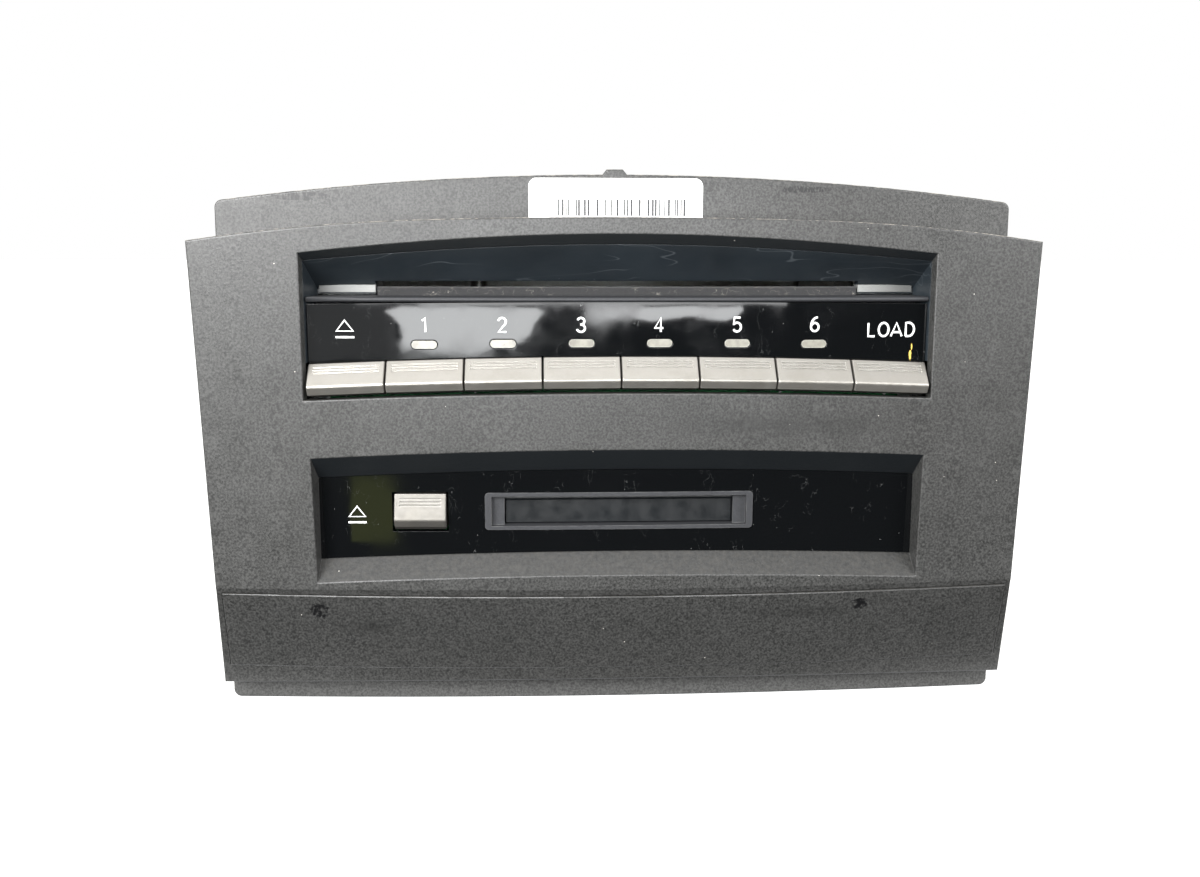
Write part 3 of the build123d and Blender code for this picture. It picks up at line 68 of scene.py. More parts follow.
CORE_DEPTH = 30.0  # half depth of a spot on the front, so that it reaches through the wall
# marks on the front as centre, half size and share, in x and z
DARK_PATCHES = (((40, 75.5), (36, 4.5), 0.45), ((-64, 23.5), (9, 2.6), 0.4), ((47, 26.5), (16, 2.2), 0.45))
SCUFFS = (((-75.8, 28.2), (5.6, 4.2)), ((61.9, 28.6), (5.4, 3.2)))
VISOR_DEPTH = 16
SCRATCHES = (((-79.5, 131.6), (12, 1.5)), ((47, 133.6), (11, 1.2)))
CHIP = (((73.2, 92.6), (0.5, 2.2)), ((73.5, 94.6), (0.25, 1.3)))
STICKER_X = -0.7
STICKER_HALF, STICKER_LOW, STICKER_HIGH, STICKER_CORNER = 21.9, 124.0, 136.2, 2.0
BAR_FIRST, BAR_LAST, BAR_LOW, BAR_HIGH = -16.0, 16.4, 126.9, 131.0

DIGIT_Z = 100.4
LOAD_X = (63.0, 66.1, 69.4, 72.8)
LOAD_Z = 99.0
LOAD_HEIGHT = 3.35
DISC_EJECT = (-67.8, 99.4)
CARD_EJECT = (-66.4, 52.3)

# studio: places and sizes of the softboxes, and how brightly each card glows
KEY_PLACE, TOP_PLACE, FILL_PLACE = (-420, -640, 340), (-60, -160, 760), (560, -560, 330)
SIDE_BOX, TOP_BOX = 380, 620
WINDOW_GLOW, UPPER_GLOW, WALL_GLOW, OLIVE_GLOW = 13.0, 8.0, 0.65, 1.9
FLOOR_HALF = 4.0  # metres
FLOOR_DROP = 0.05  # below the feet, so that nothing coincides
FLOOR_SHARE = 0.35  # of the floor's colour, the rest of its brightness being its glow
FLOOR_GLOW = 0.9
TABLE_HEIGHT = 0.3
TABLE_HALF = 2500
TABLE_NEAR, TABLE_FAR = FACE_Y + 4, FACE_Y - 3500

# outlines of the bright window that the gloss strip mirrors, in x and z on the strip
WINDOW_AWAY = 300.0
WINDOW_LEFT = (
    (-54.6, 104.4), (-58.6, 103.4), (-56.7, 102.1), (-55.2, 100.4), (-55.0, 97.9), (-55.6, 95.4),
    (-54.4, 93.0), (-51.9, 93.6), (-47.9, 92.9), (-33.8, 93.2), (-26.8, 94.4), (-24.7, 95.9),
    (-22.2, 97.9), (-21.2, 100.4), (-19.2, 102.9), (-18.4, 103.6), (-20.7, 104.5), (-37.0, 105.0),
)
WINDOW_RIGHT = (
    (-8.4, 104.8), (-8.4, 100.9), (-5.1, 100.6), (-0.6, 101.4), (2.5, 101.8), (7.7, 101.3),
    (13.0, 101.8), (18.2, 102.1), (26.6, 101.5), (29.7, 102.1), (31.2, 103.7), (30.7, 104.8),
)


# ---- colours and nodes ---------------------------------------------------------------------------
def linear(colour):
    """Linear red, green and blue of an sRGB hex colour such as 5B5A5C."""
    shares = [int(colour[i : i + 2], 16) / 255 for i in (0, 2, 4)]
    return [s / 12.92 if s <= 0.04045 else ((s + 0.055) / 1.055) ** 2.4 for s in shares]


def colour_property(name, text, colour):
    """Colour property with its default given as sRGB hex."""
    return bpy.props.FloatVectorProperty(
        name=name, description=text, subtype="COLOR", size=3, min=0, max=1, default=linear(colour)
    )


def length_property(name, text, size):
    """Length property with its default given in millimetres."""
    return bpy.props.FloatProperty(
        name=name, description=text, unit="LENGTH", subtype="DISTANCE", min=0, default=size * MM
    )


def power_property(name, text, watts):
    """Power property of a light."""
    return bpy.props.FloatProperty(name=name, description=text, unit="POWER", min=0, default=watts)


class ChangerLooks(bpy.types.PropertyGroup):
    """Sizes and colours that the operators read."""

    fascia: colour_property("Fascia", "Moulded dark grey front", "313130")
    hood: colour_property("Hood", "Smooth bluish-black moulding", "1B2024")
    rail: colour_property("Rail", "Matt black inner moulding", "1D1E21")
    gloss: colour_property("Gloss", "Piano-black strip and panel", "08090A")
    key: colour_property("Key", "Silver paint of the keys", "93908A")
    lens: colour_property("Lens", "Milky lamp windows", "7E7C73")
    light_bar: colour_property("Light bar", "Frosted bars beside the slot", "686967")
    felt: colour_property("Felt", "Dust lip of the slot", "1B1B1C")
    steel: colour_property("Steel", "Zinc plated sheet", "B4B6B4")
    plated: colour_property("Plated steel", "Plated chassis and rods", "C2C1BD")
    aluminium: colour_property("Aluminium", "Extruded heat sink", "C3C6C8")
    board: colour_property("Board", "Solder resist", "17502C")
    connector: colour_property("Connector", "Black moulded sockets", "1D1D1E")
    rubber: colour_property("Rubber", "Roller and dampers", "262626")
    gear: colour_property("Gear", "Natural acetal", "DAD8CD")
    motor: colour_property("Motor", "Plain motor can", "9C9C9A")
    mark: colour_property("Marking", "Printed digits and symbols", "D5D6D4")
    paper: colour_property("Paper", "Plain white sticker", "E9E9E7")
    ink: colour_property("Ink", "Bars on the sticker", "2B2B2D")
    floor: colour_property("Floor", "Plain pale floor", "F4F4F2")
    grain: length_property("Grain", "Size of the fascia's moulded grain", 0.55)
    digit_height: length_property("Digit height", "Height of the printed digits", 4.0)
    stroke: length_property("Stroke", "Width of the printed strokes", 0.55)
    edge: length_property("Edge", "Rounding that the finish shows on moulded edges", 0.3)
    key_light: power_property("Key light", "Softbox at the left", 13.0)
    top_light: power_property("Top light", "Overhead softbox", 1.5)
    fill_light: power_property("Fill light", "Softbox at the right", 5.5)


def looks():
    """The scene's settings."""
    return bpy.context.scene.changer_looks


def add_node(tree, kind, inputs=None, **settings):
    """Add a node, set its properties, and set or link its inputs."""
    node = tree.nodes.new(kind)
    for name, value in settings.items():
        setattr(node, name, value)
    for key, value in (inputs or {}).items():
        if isinstance(value, bpy.types.NodeSocket):
            tree.links.new(value, node.inputs[key])
        else:
            node.inputs[key].default_value = value
    return node


def millimetres(tree):
    """Object coordinates in millimetres."""
    place = add_node(tree, "ShaderNodeTexCoord").outputs["Object"]
    scaled = {0: place, "Scale": 1 / MM}
    return add_node(tree, "ShaderNodeVectorMath", scaled, operation="SCALE").outputs[0]


def facing(tree, axis):
    """How far the surface faces along an axis of the object, -1 to 1."""
    normal = add_node(tree, "ShaderNodeTexCoord").outputs["Normal"]
    return add_node(tree, "ShaderNodeSeparateXYZ", {0: normal}).outputs[axis]


def stretched(tree, where, factors):
    """Coordinates multiplied per axis, for streaks."""
    inputs = {0: where, 1: factors}
    return add_node(tree, "ShaderNodeVectorMath", inputs, operation="MULTIPLY").outputs[0]


def noise(tree, where, size, detail=2.0, roughness=0.5):
    """Noise with lumps about size millimetres across."""
    inputs = {"Vector": where, "Scale": 1 / size, "Detail": detail, "Roughness": roughness}
    return add_node(tree, "ShaderNodeTexNoise", inputs).outputs["Fac"]


def between(tree, value, low, high, to_low=0.0, to_high=1.0):
    """value mapped from low..high to to_low..to_high, clamped."""
    inputs = {0: value, 1: low, 2: high, 3: to_low, 4: to_high}
    return add_node(tree, "ShaderNodeMapRange", inputs).outputs[0]


def calc(tree, operation, a, b=0.0):
    """One step of arithmetic."""
    return add_node(tree, "ShaderNodeMath", {0: a, 1: b}, operation=operation).outputs[0]


def mixed(tree, share, a, b, how="MIX"):
    """Colour a with a share of colour b."""
    inputs = {0: share, 6: rgba(a), 7: rgba(b)}
    return add_node(tree, "ShaderNodeMix", inputs, data_type="RGBA", blend_type=how).outputs[2]


def rgba(colour):
    """A colour of three numbers gets its alpha, and a socket stays as it is."""
    return colour if isinstance(colour, bpy.types.NodeSocket) else (*colour[:3], 1.0)


def times(colour, factor):
    """Colour made lighter or darker."""
    return [min(1.0, c * factor) for c in colour[:3]]


def bumped(tree, height, distance, strength=1.0, normal=None):
    """Normal of a surface whose height goes up to distance millimetres."""
    inputs = {"Height": height, "Distance": distance * MM, "Strength": strength}
    if normal:
        inputs["Normal"] = normal
    return add_node(tree, "ShaderNodeBump", inputs).outputs[0]


def rounded(tree, radius):
    """Normal that softens the edges over a radius in metres."""
    return add_node(tree, "ShaderNodeBevel", {"Radius": radius}, samples=6).outputs[0]


def edges(tree, radius):
    """1 along edges, within about radius metres of them, and 0 elsewhere."""
    flat = add_node(tree, "ShaderNodeNewGeometry").outputs["Normal"]
    inputs = {0: rounded(tree, radius), 1: flat}
    alike = add_node(tree, "ShaderNodeVectorMath", inputs, operation="DOT_PRODUCT").outputs["Value"]
    return between(tree, alike, 0.995, 0.8)


def specks(tree, where, cell, radius, share):
    """1 in small round specks, with a cell of this size for each and a share of the cells used."""
    cells = add_node(tree, "ShaderNodeTexVoronoi", {"Vector": where, "Scale": 1 / cell})
    near = between(tree, cells.outputs["Distance"], radius / cell, 0.6 * radius / cell)
    pick = add_node(tree, "ShaderNodeSeparateColor", {0: cells.outputs["Color"]}).outputs[0]
    return calc(tree, "MULTIPLY", near, between(tree, pick, share, share - 0.01))


def hairs(tree, where, size, width, share):
    """1 along thin wandering lines, over a share of the surface."""
    line = calc(tree, "ABSOLUTE", calc(tree, "SUBTRACT", noise(tree, where, size, 1.0), 0.5))
    patch = between(tree, noise(tree, where, size * 2.3, 1.0), 0.62 - share, 0.66 - share)
    return calc(tree, "MULTIPLY", between(tree, line, width, width * 0.3), patch)


def spot(tree, where, centre, half, soft=0.6):
    """1 inside a round patch with those half sizes in millimetres, falling off at its rim."""
    inputs = {0: where, 1: centre}
    offset = add_node(tree, "ShaderNodeVectorMath", inputs, operation="SUBTRACT").outputs[0]
    inputs = {0: offset, 1: half}
    shares = add_node(tree, "ShaderNodeVectorMath", inputs, operation="DIVIDE").outputs[0]
    inputs = {0: shares}
    away = add_node(tree, "ShaderNodeVectorMath", inputs, operation="LENGTH").outputs["Value"]
    return between(tree, away, 1.0, 1.0 - soft)


def front_spot(tree, where, centre, half, soft=0.6, depth=0.0, through=CORE_DEPTH):
    """spot() on the front, from a centre and a half size in x and z."""
    centre = (centre[0], FACE_Y + depth, centre[1])
    return spot(tree, where, centre, (half[0], through, half[1]), soft)


def new_material(name, colour, roughness, metallic=0.0):
    """Material with a plain shader, its node tree and that shader."""
    material = bpy.data.materials.new(name)
    material.use_nodes = True
    material.diffuse_color = (*colour[:3], 1.0)
    tree = material.node_tree
    shader = tree.nodes["Principled BSDF"]
    shader.inputs["Base Color"].default_value = (*colour[:3], 1.0)
    shader.inputs["Roughness"].default_value = roughness
    shader.inputs["Metallic"].default_value = metallic
    return material, tree, shader


def drive(tree, shader, **values):
    """Link patterns to the shader's sockets, named with underscores for spaces."""
    for name, value in values.items():
        tree.links.new(value, shader.inputs[name.replace("_", " ")])


# ---- meshes --------------------------------------------------------------------------------------
def bow(x):
    """How far the front falls back at x, in millimetres."""
    return FACE_RADIUS - sqrt(FACE_RADIUS**2 - x * x)


def finish_nodes(names, material):
    """Give CAD nodes a material in all their slots."""
    for name in names:
        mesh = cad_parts[name].data
        if not mesh.materials:
            mesh.materials.append(material)
        for i in range(len(mesh.materials)):
            mesh.materials[i] = material


def place_piece(name, mesh, material, body, smooth=True):
    """Object of a mesh that is already in place, riding on a CAD body."""
    piece = bpy.data.objects.new(name, mesh)
    bpy.context.scene.collection.objects.link(piece)
    mesh.materials.clear()
    mesh.materials.append(material)
    for face in mesh.polygons:
        face.use_smooth = smooth
    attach(piece, body)
    return piece


def on_front(mesh, x, z, depth, thick):
    """Move a mesh drawn in x and z, in millimetres, onto the bowed front at this depth.

    Its y from -1 to 1 becomes the print's thickness.
    """
    for vertex in mesh.vertices:
        u, w, v = vertex.co
        px = x + u
        vertex.co = (px * MM, (FACE_Y + depth + bow(px) + w * thick / 2) * MM, (z + v) * MM)
    mesh.update()


def arc(x, z, wide, high, start, end, steps=14):
    """Points on an ellipse between two angles in degrees, counter-clockwise from +x."""
    angles = [radians(start + (end - start) * i / steps) for i in range(steps + 1)]
    return [(x + wide * cos(a), z + high * sin(a)) for a in angles]


def stroke_mesh(name, strokes, width, closed=False):
    """Mesh of round-ended strokes drawn in x and z. Its y goes from -1 to 1."""
    curve = bpy.data.curves.new(name, "CURVE")
    curve.dimensions = "3D"
    curve.bevel_depth = width / 2
    curve.bevel_resolution = 3
    curve.use_fill_caps = True
    for points in strokes:
        spline = curve.splines.new("POLY")
        spline.points.add(len(points) - 1)
        for place, point in zip(spline.points, points):
            place.co = (point[0], 0, point[1], 1)
        spline.use_cyclic_u = closed
    holder = bpy.data.objects.new(name, curve)
    bpy.context.scene.collection.objects.link(holder)
    mesh = bpy.data.meshes.new_from_object(holder)
    mesh.name = name
    bpy.data.objects.remove(holder)
    bpy.data.curves.remove(curve)
    for vertex in mesh.vertices:
        vertex.co.y *= 2 / width
    return mesh


def plate_mesh(name, half, low, high, corner):
    """Thin plate with two round top corners, cut into columns so that it can follow the bow."""
    bm = bmesh.new()
    outline = [(-half, -1, low), (half, -1, low), (half, -1, high), (-half, -1, high)]
    verts = [bm.verts.new(place) for place in outline]
    bm.faces.new(verts)
    round_off = {"affect": "VERTICES", "segments": 8, "profile": 0.5, "material": -1}
    bmesh.ops.bevel(bm, geom=verts[2:], offset=corner, **round_off)
    for x in range(-int(half), int(half) + 1, 2):
        everything = [*bm.verts, *bm.edges, *bm.faces]
        bmesh.ops.bisect_plane(bm, geom=everything, plane_co=(x, 0, 0), plane_no=(1, 0, 0))
    grown = bmesh.ops.extrude_face_region(bm, geom=list(bm.faces))["geom"]
    back = [part for part in grown if isinstance(part, bmesh.types.BMVert)]
    bmesh.ops.translate(bm, verts=back, vec=(0, 2, 0))
    bmesh.ops.recalc_face_normals(bm, faces=bm.faces)
    mesh = bpy.data.meshes.new(name)
    bm.to_mesh(mesh)
    bm.free()
    return mesh


GLYPHS = {
    "1": [[(-0.13, 0.3), (0.08, 0.5), (0.08, -0.5)]],
    "2": [
        arc(0, 0.25, 0.27, 0.25, 172, 0, 12)
        + [(0.25, 0.1), (-0.27, -0.5)]
        + [(0.29, -0.5)]
    ],
    "3": [
        arc(-0.01, 0.26, 0.25, 0.24, 160, -80, 14) + [(-0.05, 0.03)],
        [(-0.05, 0.03)] + arc(-0.01, -0.235, 0.29, 0.265, 85, -165, 14),
    ],
    "4": [[(0.12, -0.5), (0.12, 0.5), (-0.31, -0.23), (0.3, -0.23)]],
    "5": [
        [(0.24, 0.5), (-0.19, 0.5), (-0.24, 0.03)]
        + arc(0, -0.18, 0.29, 0.32, 140, -150, 16)
    ],
    "6": [
        [(0.2, 0.49)] + arc(0.17, -0.18, 0.45, 0.67, 96, 175, 8),
        arc(0, -0.2, 0.28, 0.3, 0, 360, 22),
    ],
    "L": [[(-0.25, 0.5), (-0.25, -0.5), (0.25, -0.5)]],
    "O": [arc(0, 0, 0.38, 0.5, 0, 360, 26)],
    "A": [[(-0.42, -0.5), (0, 0.5), (0.42, -0.5)], [(-0.28, -0.2), (0.28, -0.2)]],
    "D": [[(-0.3, -0.5), (-0.3, 0.5)] + arc(-0.08, 0, 0.42, 0.5, 90, -90, 14) + [(-0.3, -0.5)]],
}


# ---- moulded front -------------------------------------------------------------------------------
def fascia_material():
    """Moulded ABS with a sandy grain: dust along its crown, scuffs, darker patches, painted shade
    and painted edge highlights.
    """
    base = looks().fascia
    material, tree, shader = new_material("moulded_abs", base, 0.55)
    where = millimetres(tree)
    grain_size = looks().grain / MM
    # small sand-like lumps that break up the highlight, drawn coarser than real so that they show
    sand = noise(tree, where, grain_size, 4.0, 0.65)
    # each grain differs in tone from the next
    grit = between(tree, sand, 0.38, 0.62)
    tone = mixed(tree, grit, times(base, 1.5), times(base, 0.4))
    # painted shade: faces turned down are darkened toward a bluish black like the hood, and lips
    # that face up are darkened too
    under = between(tree, facing(tree, "Z"), -0.25, -0.6)
    upward = between(tree, facing(tree, "Z"), 0.35, 0.8)
    tone = mixed(tree, calc(tree, "MULTIPLY", upward, 0.7), tone, times(base, 0.3))
    tone = mixed(tree, under, tone, times(linear("1C2023"), 0.6))
    # ragged darker patches below the recess and on the chin
    for centre, half, share in DARK_PATCHES:
        patch = front_spot(tree, where, centre, half, 0.9)
        ragged = calc(tree, "MULTIPLY", patch, noise(tree, where, 5.0))
        tone = mixed(tree, calc(tree, "MULTIPLY", ragged, share * 2), tone, times(base, 0.35))
    # black scuffs at the break line
    for centre, half in SCUFFS:
        patch = front_spot(tree, where, centre, half)
        ragged = calc(tree, "MULTIPLY", patch, noise(tree, where, 2.2, 4.0, 0.7))
        tone = mixed(tree, between(tree, ragged, 0.42, 0.52), tone, linear("0B0B0C"))
    # pale specks of dust, and dust lying thick on the crown and thin on what else faces up
    dust = linear("B9B6AE")
    tone = mixed(tree, specks(tree, where, 4.5, 0.16, 0.55), tone, dust)
    height = add_node(tree, "ShaderNodeSeparateXYZ", {0: where}).outputs["Z"]
    crown = between(tree, height, 108.0, 114.0, 0.08, 1.0)
    lying = calc(tree, "MULTIPLY", between(tree, facing(tree, "Z"), 0.5, 0.95), crown)
    patchy = calc(tree, "MULTIPLY", lying, between(tree, noise(tree, where, 1.1, 4.0), 0.42, 0.66))
    tone = mixed(tree, calc(tree, "MULTIPLY", patchy, 0.8), tone, linear("A39C90"))
    # painted highlight: edges a little lighter, where light would catch their rounding
    painted_edge_highlight = calc(tree, "MULTIPLY", edges(tree, looks().edge), noise(tree, where, 2.0, 3.0))
    tone = mixed(tree, calc(tree, "MULTIPLY", painted_edge_highlight, 0.5), tone, times(base, 1.8))
    rough = between(tree, noise(tree, where, 9.0, 3.0), 0.3, 0.7, 0.34, 0.44)
    normal = bumped(tree, sand, 0.06, 0.5, rounded(tree, looks().edge))
    drive(tree, shader, Base_Color=tone, Roughness=rough, Normal=normal)
    return material


def visor_material():
    """The same moulding behind the panel, with rows of short dark scratches near its top."""
    material = fascia_material()
    material.name = "moulded_abs_scratched"
    tree = material.node_tree
    shader = tree.nodes["Principled BSDF"]
    where = millimetres(tree)
    tone = shader.inputs["Base Color"].links[0].from_socket
    for centre, half in SCRATCHES:
        lines = noise(tree, stretched(tree, where, (1.0, 0.2, 0.45)), 0.5, 1.0)
        patch = front_spot(tree, where, centre, half, 0.4, VISOR_DEPTH)
        marks = calc(tree, "MULTIPLY", patch, lines)
        tone = mixed(tree, between(tree, marks, 0.44, 0.54), tone, linear("0E0E0E"))
    drive(tree, shader, Base_Color=tone)
    return material


class FasciaFinish(bpy.types.Operator):
    """Finish the moulded front panel, its chin and the collar behind it"""

    bl_idname = "changer.fascia"
    bl_label = "Moulded front"

    def execute(self, context):
        finish_nodes(["fascia_panel", "chin_trim"], fascia_material())
        finish_nodes(["rear_collar"], visor_material())
        return {"FINISHED"}


def hood_material(name, base):
    """Smooth bluish-black moulding, with a satin skin and stray dust."""
    material, tree, shader = new_material(name, base, 0.36)
    where = millimetres(tree)
    tone = mixed(tree, between(tree, noise(tree, where, 22.0), 0.35, 0.65), base, times(base, 1.35))
    tone = mixed(tree, specks(tree, where, 3.2, 0.1, 0.5), tone, linear("8A8E92"))
    scuffs = hairs(tree, stretched(tree, where, (0.25, 1, 1)), 5.0, 0.008, 0.1)
    tone = mixed(tree, calc(tree, "MULTIPLY", scuffs, 0.35), tone, linear("5A5F63"))
    rough = between(tree, noise(tree, where, 4.0, 3.0), 0.3, 0.7, 0.3, 0.46)
    normal = bumped(tree, noise(tree, where, 0.6, 2.0), 0.015, 0.4, rounded(tree, 0.2 * MM))
    drive(tree, shader, Base_Color=tone, Roughness=rough, Normal=normal)
    return material


def rail_material():
    """Matt black inner moulding with a coarse spark-eroded skin, and a painted highlight on its
    rounded nose.
    """
    base = looks().rail
    material, tree, shader = new_material("matt_black_moulding", base, 0.6)
    where = millimetres(tree)
    sand = noise(tree, where, 0.28, 3.0, 0.7)
    tone = mixed(tree, between(tree, sand, 0.4, 0.6), times(base, 0.7), times(base, 1.5))
    tone = mixed(tree, specks(tree, where, 2.4, 0.1, 0.5), tone, linear("97978F"))
    # painted highlight: lighter patches along the edges and the rounded nose
    painted_edge_highlight = between(tree, noise(tree, where, 3.0, 3.0), 0.35, 0.7, 0, 0.4)
    painted_edge_highlight = calc(tree, "MULTIPLY", edges(tree, 0.25 * MM), painted_edge_highlight)
    tone = mixed(tree, painted_edge_highlight, tone, linear("8B8B88"))
    normal = bumped(tree, sand, 0.05, 0.5, rounded(tree, 0.15 * MM))
    drive(tree, shader, Base_Color=tone, Normal=normal)
    return material


def gloss_material():
    """Piano-black acrylic: mirror gloss with dust specks, fine hair scratches and finger haze."""
    base = looks().gloss
    material, tree, shader = new_material("piano_black", base, 0.05)
    where = millimetres(tree)
    haze = between(tree, noise(tree, where, 14.0, 3.0), 0.45, 0.75, 0.035, 0.13)
    dust = specks(tree, where, 2.6, 0.09, 0.6)
    lint = hairs(tree, stretched(tree, where, (1, 1, 0.6)), 1.6, 0.0025, 0.02)
    marks = calc(tree, "MAXIMUM", dust, calc(tree, "MULTIPLY", lint, 0.3))
    tone = mixed(tree, marks, base, linear("8C8D8C"))
    # golden chip above the last key, where the skin has split
    splits = [front_spot(tree, where, *split, depth=5, through=9) for split in CHIP]
    chip = calc(tree, "MAXIMUM", *splits)
    chip = between(tree, calc(tree, "MULTIPLY", chip, noise(tree, where, 0.7, 2.0)), 0.3, 0.42)
    tone = mixed(tree, chip, tone, linear("D8B35A"))
    rough = calc(tree, "ADD", haze, calc(tree, "MULTIPLY", marks, 0.4))
    drive(tree, shader, Base_Color=tone, Roughness=rough)
    # the moulded skin is never quite flat, so straight reflections waver
    skin, soft = noise(tree, where, 16.0, 1.0), rounded(tree, 0.15 * MM)
    drive(tree, shader, Normal=bumped(tree, skin, 0.06, 0.5, soft))
    return material


class BlackMouldings(bpy.types.Operator):
    """Finish the disc funnel, slot rail, card rim, flap and both gloss panels"""

    bl_idname = "changer.black_mouldings"
    bl_label = "Black mouldings"

    def execute(self, context):
        hood = looks().hood
        finish_nodes(["slot_hood"], hood_material("smooth_black_moulding", hood))
        finish_nodes(["card_flap"], hood_material("dark_flap_moulding", times(hood, 0.25)))
        finish_nodes(["key_carrier", "card_mouth"], rail_material())
        finish_nodes(["upper_gloss_strip", "lower_gloss_panel"], gloss_material())
        return {"FINISHED"}


def key_material(name, base, roughness=0.34):
    """Silver paint on moulded keys: fine flake, dull film, dark specks and a painted highlight along
    the edges.
    """
    material, tree, shader = new_material(name, base, roughness, 0.78)
    where = millimetres(tree)
    flake = noise(tree, where, 0.09, 2.0, 0.7)
    tone = mixed(tree, between(tree, flake, 0.38, 0.62), times(base, 0.86), times(base, 1.1))
    film = between(tree, noise(tree, where, 6.0, 3.0), 0.45, 0.75, 0, 0.2)
    tone = mixed(tree, film, tone, linear("6F6B60"))
    tone = mixed(tree, specks(tree, where, 2.2, 0.1, 0.35), tone, linear("4A4843"))
    # painted highlight: a pale line along the edges, where light catches the rounded nose
    bright = calc(tree, "MULTIPLY", edges(tree, 0.22 * MM), 0.6)
    tone = mixed(tree, bright, tone, linear("EDEBE4"))
    uneven = noise(tree, where, 1.4, 3.0)
    rough = between(tree, uneven, 0.3, 0.7, roughness - 0.06, roughness + 0.08)
    drive(tree, shader, Base_Color=tone, Roughness=rough)
    drive(tree, shader, Normal=bumped(tree, flake, 0.01, 0.35, rounded(tree, 0.18 * MM)))
    return material


class KeyFinish(bpy.types.Operator):
    """Finish the eight keys of the row and the card key"""

    bl_idname = "changer.keys"
    bl_label = "Silver keys"

    def execute(self, context):
        names = ["key_eject"] + [f"key_{n}" for n in range(1, 7)] + ["key_load"]
        finish_nodes(names, key_material("silver_paint", looks().key))
        duller = key_material("silver_paint_card_key", times(looks().key, 0.5), 0.5)
        finish_nodes(["card_key"], duller)
        return {"FINISHED"}


def lens_material():
    """Milky polycarbonate lamp windows, unlit, with a painted highlight along their rims."""
    base = looks().lens
    material, tree, shader = new_material("milky_lens", base, 0.22)
    where = millimetres(tree)
    cloud = between(tree, noise(tree, where, 1.6, 2.0), 0.35, 0.65)
    tone = mixed(tree, cloud, times(base, 0.75), base)
    tone = mixed(tree, specks(tree, where, 1.2, 0.08, 0.4), tone, linear("3B3A36"))
    # painted highlight: a pale ring along the window edges
    rim = calc(tree, "MULTIPLY", edges(tree, 0.2 * MM), 0.8)
    tone = mixed(tree, rim, tone, linear("D6D4CB"))
    shader.inputs["Coat Weight"].default_value = 0.5
    shader.inputs["Coat Roughness"].default_value = 0.08
    drive(tree, shader, Base_Color=tone)
    return material


def light_bar_material():
    """Frosted acrylic bars beside the slot, with painted light that makes them brighter toward their
    inner ends.
    """
    base = looks().light_bar
    material, tree, shader = new_material("frosted_bar", base, 0.4)
    where = millimetres(tree)
    # painted light: the bars are brighter toward their inner ends
    along = add_node(tree, "ShaderNodeSeparateXYZ", {0: where}).outputs["X"]
    inner = between(tree, calc(tree, "ABSOLUTE", along), 75.0, 62.0)
    tone = mixed(tree, inner, times(base, 0.45), times(base, 1.35))
    frost = noise(tree, where, 0.2, 3.0, 0.7)
    tone = mixed(tree, between(tree, frost, 0.35, 0.65, 0, 0.3), tone, linear("5C5D5C"))
    drive(tree, shader, Base_Color=tone, Normal=bumped(tree, frost, 0.02, 0.4))
    return material


def felt_material():
    """Needle felt of the dust lip: matt fibres with lint caught in them."""
    base = looks().felt
    material, tree, shader = new_material("needle_felt", base, 0.95)
    where = millimetres(tree)
    fibre = noise(tree, stretched(tree, where, (0.35, 1, 1)), 0.16, 4.0, 0.75)
    tone = mixed(tree, between(tree, fibre, 0.35, 0.65), times(base, 0.5), times(base, 1.7))
    tone = mixed(tree, hairs(tree, where, 1.5, 0.01, 0.1), tone, linear("6B6862"))
    shader.inputs["Sheen Weight"].default_value = 0.25
    drive(tree, shader, Base_Color=tone, Normal=bumped(tree, fibre, 0.12, 0.7))
    return material


class SlotDetails(bpy.types.Operator):
    """Finish the lamp windows, the frosted bars and the felt dust lip"""

    bl_idname = "changer.slot_details"
    bl_label = "Lamps, bars and felt"

    def execute(self, context):
        finish_nodes(["indicator_lenses"], lens_material())
        finish_nodes(["slot_lights"], light_bar_material())
        finish_nodes(["slot_felt"], felt_material())
        return {"FINISHED"}


# ---- housing and mechanism -----------------------------------------------------------------------
def zinc_material(name, base, size):
    """Zinc-plated sheet: soft spangle, rolling lines, handling marks and dulled edges."""
    material, tree, shader = new_material(name, base, 0.34, 1.0)
    where = millimetres(tree)
    cells = add_node(tree, "ShaderNodeTexVoronoi", {"Vector": where, "Scale": 1 / size})
    shade = add_node(tree, "ShaderNodeSeparateColor", {0: cells.outputs["Color"]}).outputs[0]
    tone = mixed(tree, between(tree, shade, 0, 1, 0, 0.45), base, times(base, 0.82))
    rolled = noise(tree, stretched(tree, where, (1, 0.03, 1)), 0.35, 3.0)
    tone = mixed(tree, between(tree, rolled, 0.35, 0.65, 0, 0.25), tone, times(base, 0.7))
    stain = between(tree, noise(tree, where, 30.0, 4.0), 0.52, 0.72, 0, 0.5)
    tone = mixed(tree, stain, tone, times(linear("9E978A"), 0.8))
    tone = mixed(tree, specks(tree, where, 6.0, 0.25, 0.4), tone, linear("6B665D"))
    rough = between(tree, calc(tree, "ADD", rolled, stain), 0.3, 1.2, 0.26, 0.56)
    lines = hairs(tree, stretched(tree, where, (0.4, 1, 1)), 16.0, 0.004, 0.12)
    height = calc(tree, "SUBTRACT", rolled, lines)
    drive(tree, shader, Base_Color=tone, Roughness=rough)
    drive(tree, shader, Normal=bumped(tree, height, 0.02, 0.35, rounded(tree, 0.25 * MM)))
    return material


def turned_material(name, base, roughness):
    """Plain turned or drawn metal with fine lines round it and a trace of oil."""
    material, tree, shader = new_material(name, base, roughness, 1.0)
    where = millimetres(tree)
    lines = noise(tree, stretched(tree, where, (0.08, 0.08, 1)), 0.12, 2.0)
    tone = mixed(tree, between(tree, lines, 0.35, 0.65), times(base, 0.82), times(base, 1.08))
    oil = between(tree, noise(tree, where, 7.0, 2.0), 0.45, 0.7)
    rough = between(tree, oil, 0, 1, roughness + 0.06, roughness - 0.08)
    drive(tree, shader, Base_Color=tone, Roughness=rough)
    drive(tree, shader, Normal=bumped(tree, lines, 0.008, 0.4, rounded(tree, 0.12 * MM)))
    return material


